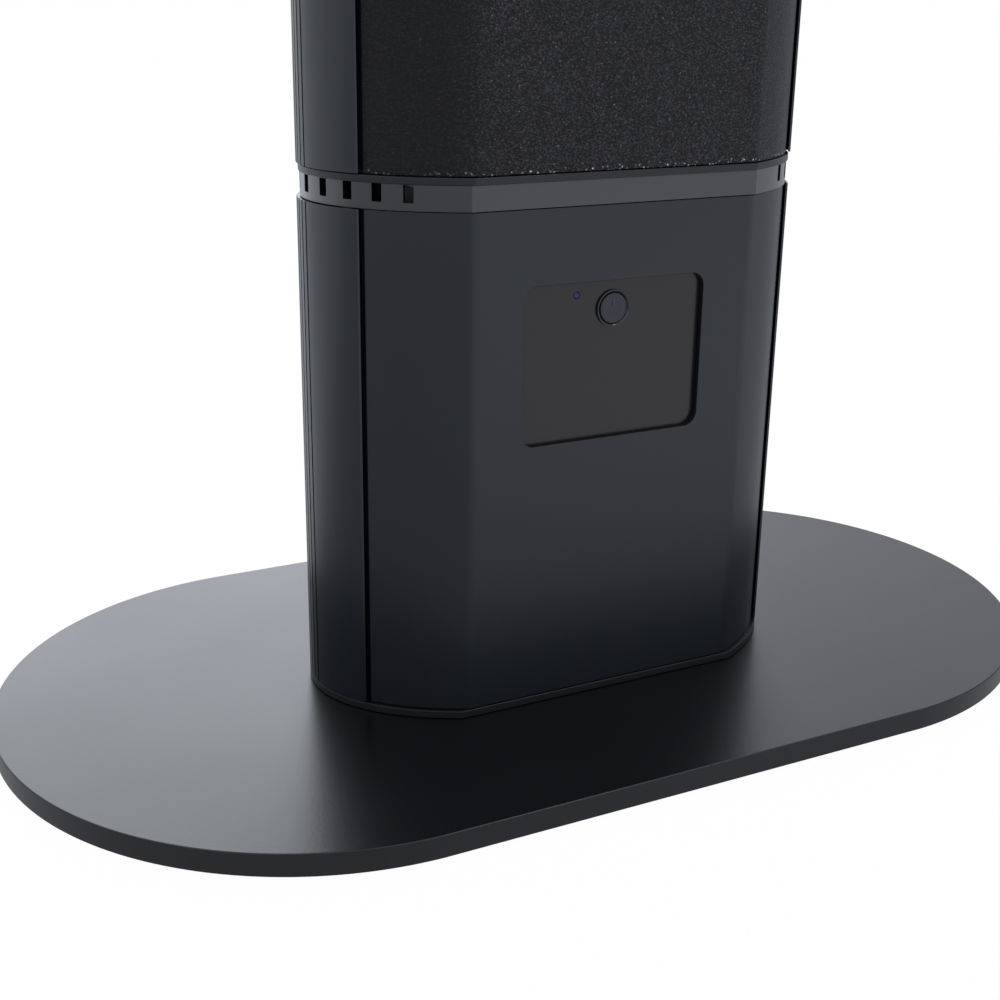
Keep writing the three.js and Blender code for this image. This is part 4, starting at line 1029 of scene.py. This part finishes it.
cap_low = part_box("top_cap")[0].z + SPIGOT_HEIGHT
cap_band = cap_low + BAND_HEIGHT
cap_top = cap_band + LID_HEIGHT
cap = rounded(oval_block(0, cap_low, cap_band + OVERLAP, name="cap"), BAND_ROUND)
combine(cap, "DIFFERENCE", oval_block(-RIM_WIDTH, cap_low - CLEAR, cap_low + COLLAR_FLOOR + CLEAR))
combine(cap, "DIFFERENCE", oval_block(-BAND_WALL, cap_low + COLLAR_FLOOR, cap_band + OVERLAP + CLEAR))
lid = oval_block(LIP_PROUD, cap_band, cap_top)
edit(lid)
choose("edges", lambda edge: all(vertex.co.z > cap_top - SMALL for vertex in edge.verts))
bpy.ops.mesh.bevel(offset=LID_ROUND, segments=5)
bpy.ops.object.mode_set(mode="OBJECT")
combine(cap, "UNION", lid, spigot(cap_low - SPIGOT_HEIGHT, cap_low + OVERLAP))
combine(
    cap, "DIFFERENCE",
    vents(cap_band),
    rods(PORTS, SCREW_HOLE, cap_low - CLEAR, cap_top + CLEAR, HOLE_SIDES),
    rods(PORTS, HEAD_RADIUS, cap_top - HEAD_DEPTH, cap_top + CLEAR, PORT_SIDES),
)
hand_over(cap, moulded_black, "black_plastic", "top_cap")

# %% [markdown]
# ## Control window
# The window is a smooth plate behind the opening. It is drilled for the button's ring and the indicator,
# and four posts on its back carry the control board.

# %% Model the window
GLASS_FRONT = FRONT + RIM_DEPTH + 0.3 * MM
GLASS_THICKNESS = 2 * MM
GLASS_MARGIN = 6 * MM
GLASS_ROUND = 0.2 * MM
BUTTON = (0, GLASS_FRONT - 0.3 * MM, 211.9 * MM)
LIGHT = (-20 * MM, GLASS_FRONT, 219.4 * MM)
RING_HOLE_RADIUS = 8.5 * MM
LIGHT_HOLE_RADIUS = 1.8 * MM
POSTS = [(x * 42 * MM, GLASS_FRONT + OVERLAP, WINDOW_LEVEL + z * 30 * MM) for x in (-1, 1) for z in (-1, 1)]
POST_RADIUS = 3 * MM
POST_LENGTH = 8 * MM

glass_size = tuple(side + 2 * GLASS_MARGIN for side in WINDOW_SIZE)
glass_radius = WINDOW_RADIUS + GLASS_MARGIN
glass = rounded_block("window", glass_size, glass_radius, (0, GLASS_FRONT, WINDOW_LEVEL), GLASS_THICKNESS)
rounded(glass, GLASS_ROUND)
post_steps = [(POST_RADIUS, 0), (POST_RADIUS, GLASS_THICKNESS - OVERLAP + POST_LENGTH)]
for post in POSTS:
    combine(glass, "UNION", turned("post", post_steps, post, HOLE_SIDES))
for radius, place, sides in ((RING_HOLE_RADIUS, BUTTON, 64), (LIGHT_HOLE_RADIUS, LIGHT, HOLE_SIDES)):
    drill = turned("drill", [(radius, -2 * CLEAR), (radius, GLASS_THICKNESS + 2 * CLEAR)], place, sides)
    combine(glass, "DIFFERENCE", drill)
hand_over(glass, window_smoke, "window_plastic", "control_window")

# %% [markdown]
# ## Power button
# The button is a small dished disc in a polished ring. The ring's inner edge slopes to the rear, and this
# slope is what catches the lamp. Both are turned pieces, and their profiles are lists of (radius, depth)
# in millimetres.

# %% Model the ring and the button
RING_PROFILE = [
    (7.6, 2.3), (8.2, 2.3), (8.2, 0), (9, 0), (9, -0.76), (8.96, -0.86), (8.86, -0.9),
    (8.45, -0.9), (8.3, -0.84), (7.7, -0.34), (7.6, -0.2), (7.6, 2.3),
]
BUTTON_PROFILE = [
    (2.5, 4.8), (2.5, 3.8), (9.4, 3.8), (9.4, 2.7), (7.3, 2.7), (7.3, -0.45), (7.22, -0.65), (7.0, -0.76),
    (6.7, -0.79), (5.2, -0.69), (3.65, -0.59), (1.8, -0.52), (0.4, -0.5),
]


def in_mm(profile):
    """The profile in metres."""
    return [(radius * MM, depth * MM) for radius, depth in profile]


ring = turned("ring", in_mm(RING_PROFILE), BUTTON, 96, filled=False)
hand_over(ring, ring_gloss, "gloss_ring", "button_ring")
button = turned("button", in_mm(BUTTON_PROFILE), BUTTON, 96)
hand_over(button, button_smoke, "black_plastic", "power_button", body="button")

# %% [markdown]
# The sign on the button is the usual one for power, a broken ring with a bar. It is a thin raised print:
# a turned band with a gap cut from it, and a flat bar that stands in the gap.

# %% Model the sign
SIGN_PROFILE = [(4.6, -0.62), (5.4, -0.68), (5.4, -0.74), (4.6, -0.69), (4.6, -0.62)]
GAP_SIZE = (3.6 * MM, 4 * MM)
GAP_RISE = 5.4 * MM  # above the button's middle
BAR_SIZE = (1.3 * MM, 4.6 * MM)
BAR_RISE = 3.3 * MM
SIGN_PROUD = 0.74 * MM  # how far the bar's face stands out from the button's place

sign = turned("button_sign", in_mm(SIGN_PROFILE), BUTTON, 64, filled=False)
gap_place = (0, BUTTON[1] - 2 * MM, BUTTON[2] + GAP_RISE)
combine(sign, "DIFFERENCE", rounded_block("gap", GAP_SIZE, 0.1 * MM, gap_place, 4 * MM))
bar_place = (0, BUTTON[1] - SIGN_PROUD, BUTTON[2] + BAR_RISE)
combine(sign, "UNION", rounded_block("bar", BAR_SIZE, 0.4 * MM, bar_place, 0.3 * MM))
hand_over(sign, symbol_print, "black_plastic", body="button")

# %% [markdown]
# The indicator is a short rod with a domed end.

# %% Model the indicator
LENS_PROFILE = [(1.5, 10), (1.5, 0), (1.35, -0.12), (1.0, -0.25), (0.5, -0.33), (0.1, -0.35)]
lens = turned("indicator", in_mm(LENS_PROFILE), LIGHT, 32)
hand_over(lens, lens_blue, "blue_lens", "indicator_light")

# %% [markdown]
# ## Cable gland and pads
# The gland is turned about a line to the rear, with a domed mouth for the mains cable. The pads are short
# rods.

# %% Model the gland and the pads
GLAND_PROFILE = [
    (4.4, -10), (8, -10), (8, 0.3), (11.7, 0.3), (12, 0.6), (12, 5), (11.7, 5.3), (9.3, 9.6), (8.6, 11.4),
    (7.6, 12.8), (6.4, 13.3), (4.8, 13.3), (4.4, 12.8), (4.4, -10),
]
gland = turned("gland", in_mm(GLAND_PROFILE), GLAND, 48, filled=False)
hand_over(gland, moulded_black, "black_plastic", "cable_gland")

PAD_RADIUS = 14 * MM
PAD_ROUND = 0.4 * MM

for number in range(1, 5):
    low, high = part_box(f"foot_pad_{number}")
    pad = rod((low.x + high.x) / 2, (low.y + high.y) / 2, PAD_RADIUS, low.z, high.z, 64)
    pad.name = f"pad_{number}"
    hand_over(rounded(pad, PAD_ROUND), pad_rubber, "rubber", f"foot_pad_{number}")

# %% [markdown]
# ## Pieces inside
# The exact nodes inside the tower keep their meshes and get their finishes.

# %% Finish the pieces inside
INSIDE = {
    zinc_plate: ("base_bolt_", "foot_screw_", "joint_stud_", "cap_screw_", "tilt_pin", "tilt_pendulum"),
    sheet_zinc: ("heater_chassis", "lamp_bracket_", "tilt_bracket"),
    bright_sheet: ("reflector",),
    lamp_quartz: ("quartz_tube_",),
    lamp_carbon: ("carbon_filament_",),
    lamp_ceramic: ("lamp_cap_", "thermal_cutout"),
    woven_sleeve: ("lamp_lead_",),
    board_green: ("control_board",),
    relay_blue: ("relay_",),
    terminal_grey: ("terminal_block", "switch_plunger"),
    moulded_black: ("push_switch", "gland_nut"),
    ring_gloss: ("infrared_receiver",),
}
finished = 0
for finish, starts in INSIDE.items():
    for name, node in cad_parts.items():
        if name.startswith(starts):
            node.data.materials.clear()
            node.data.materials.append(finish.material)
            finished += 1
print(finished, "pieces inside have their finish")
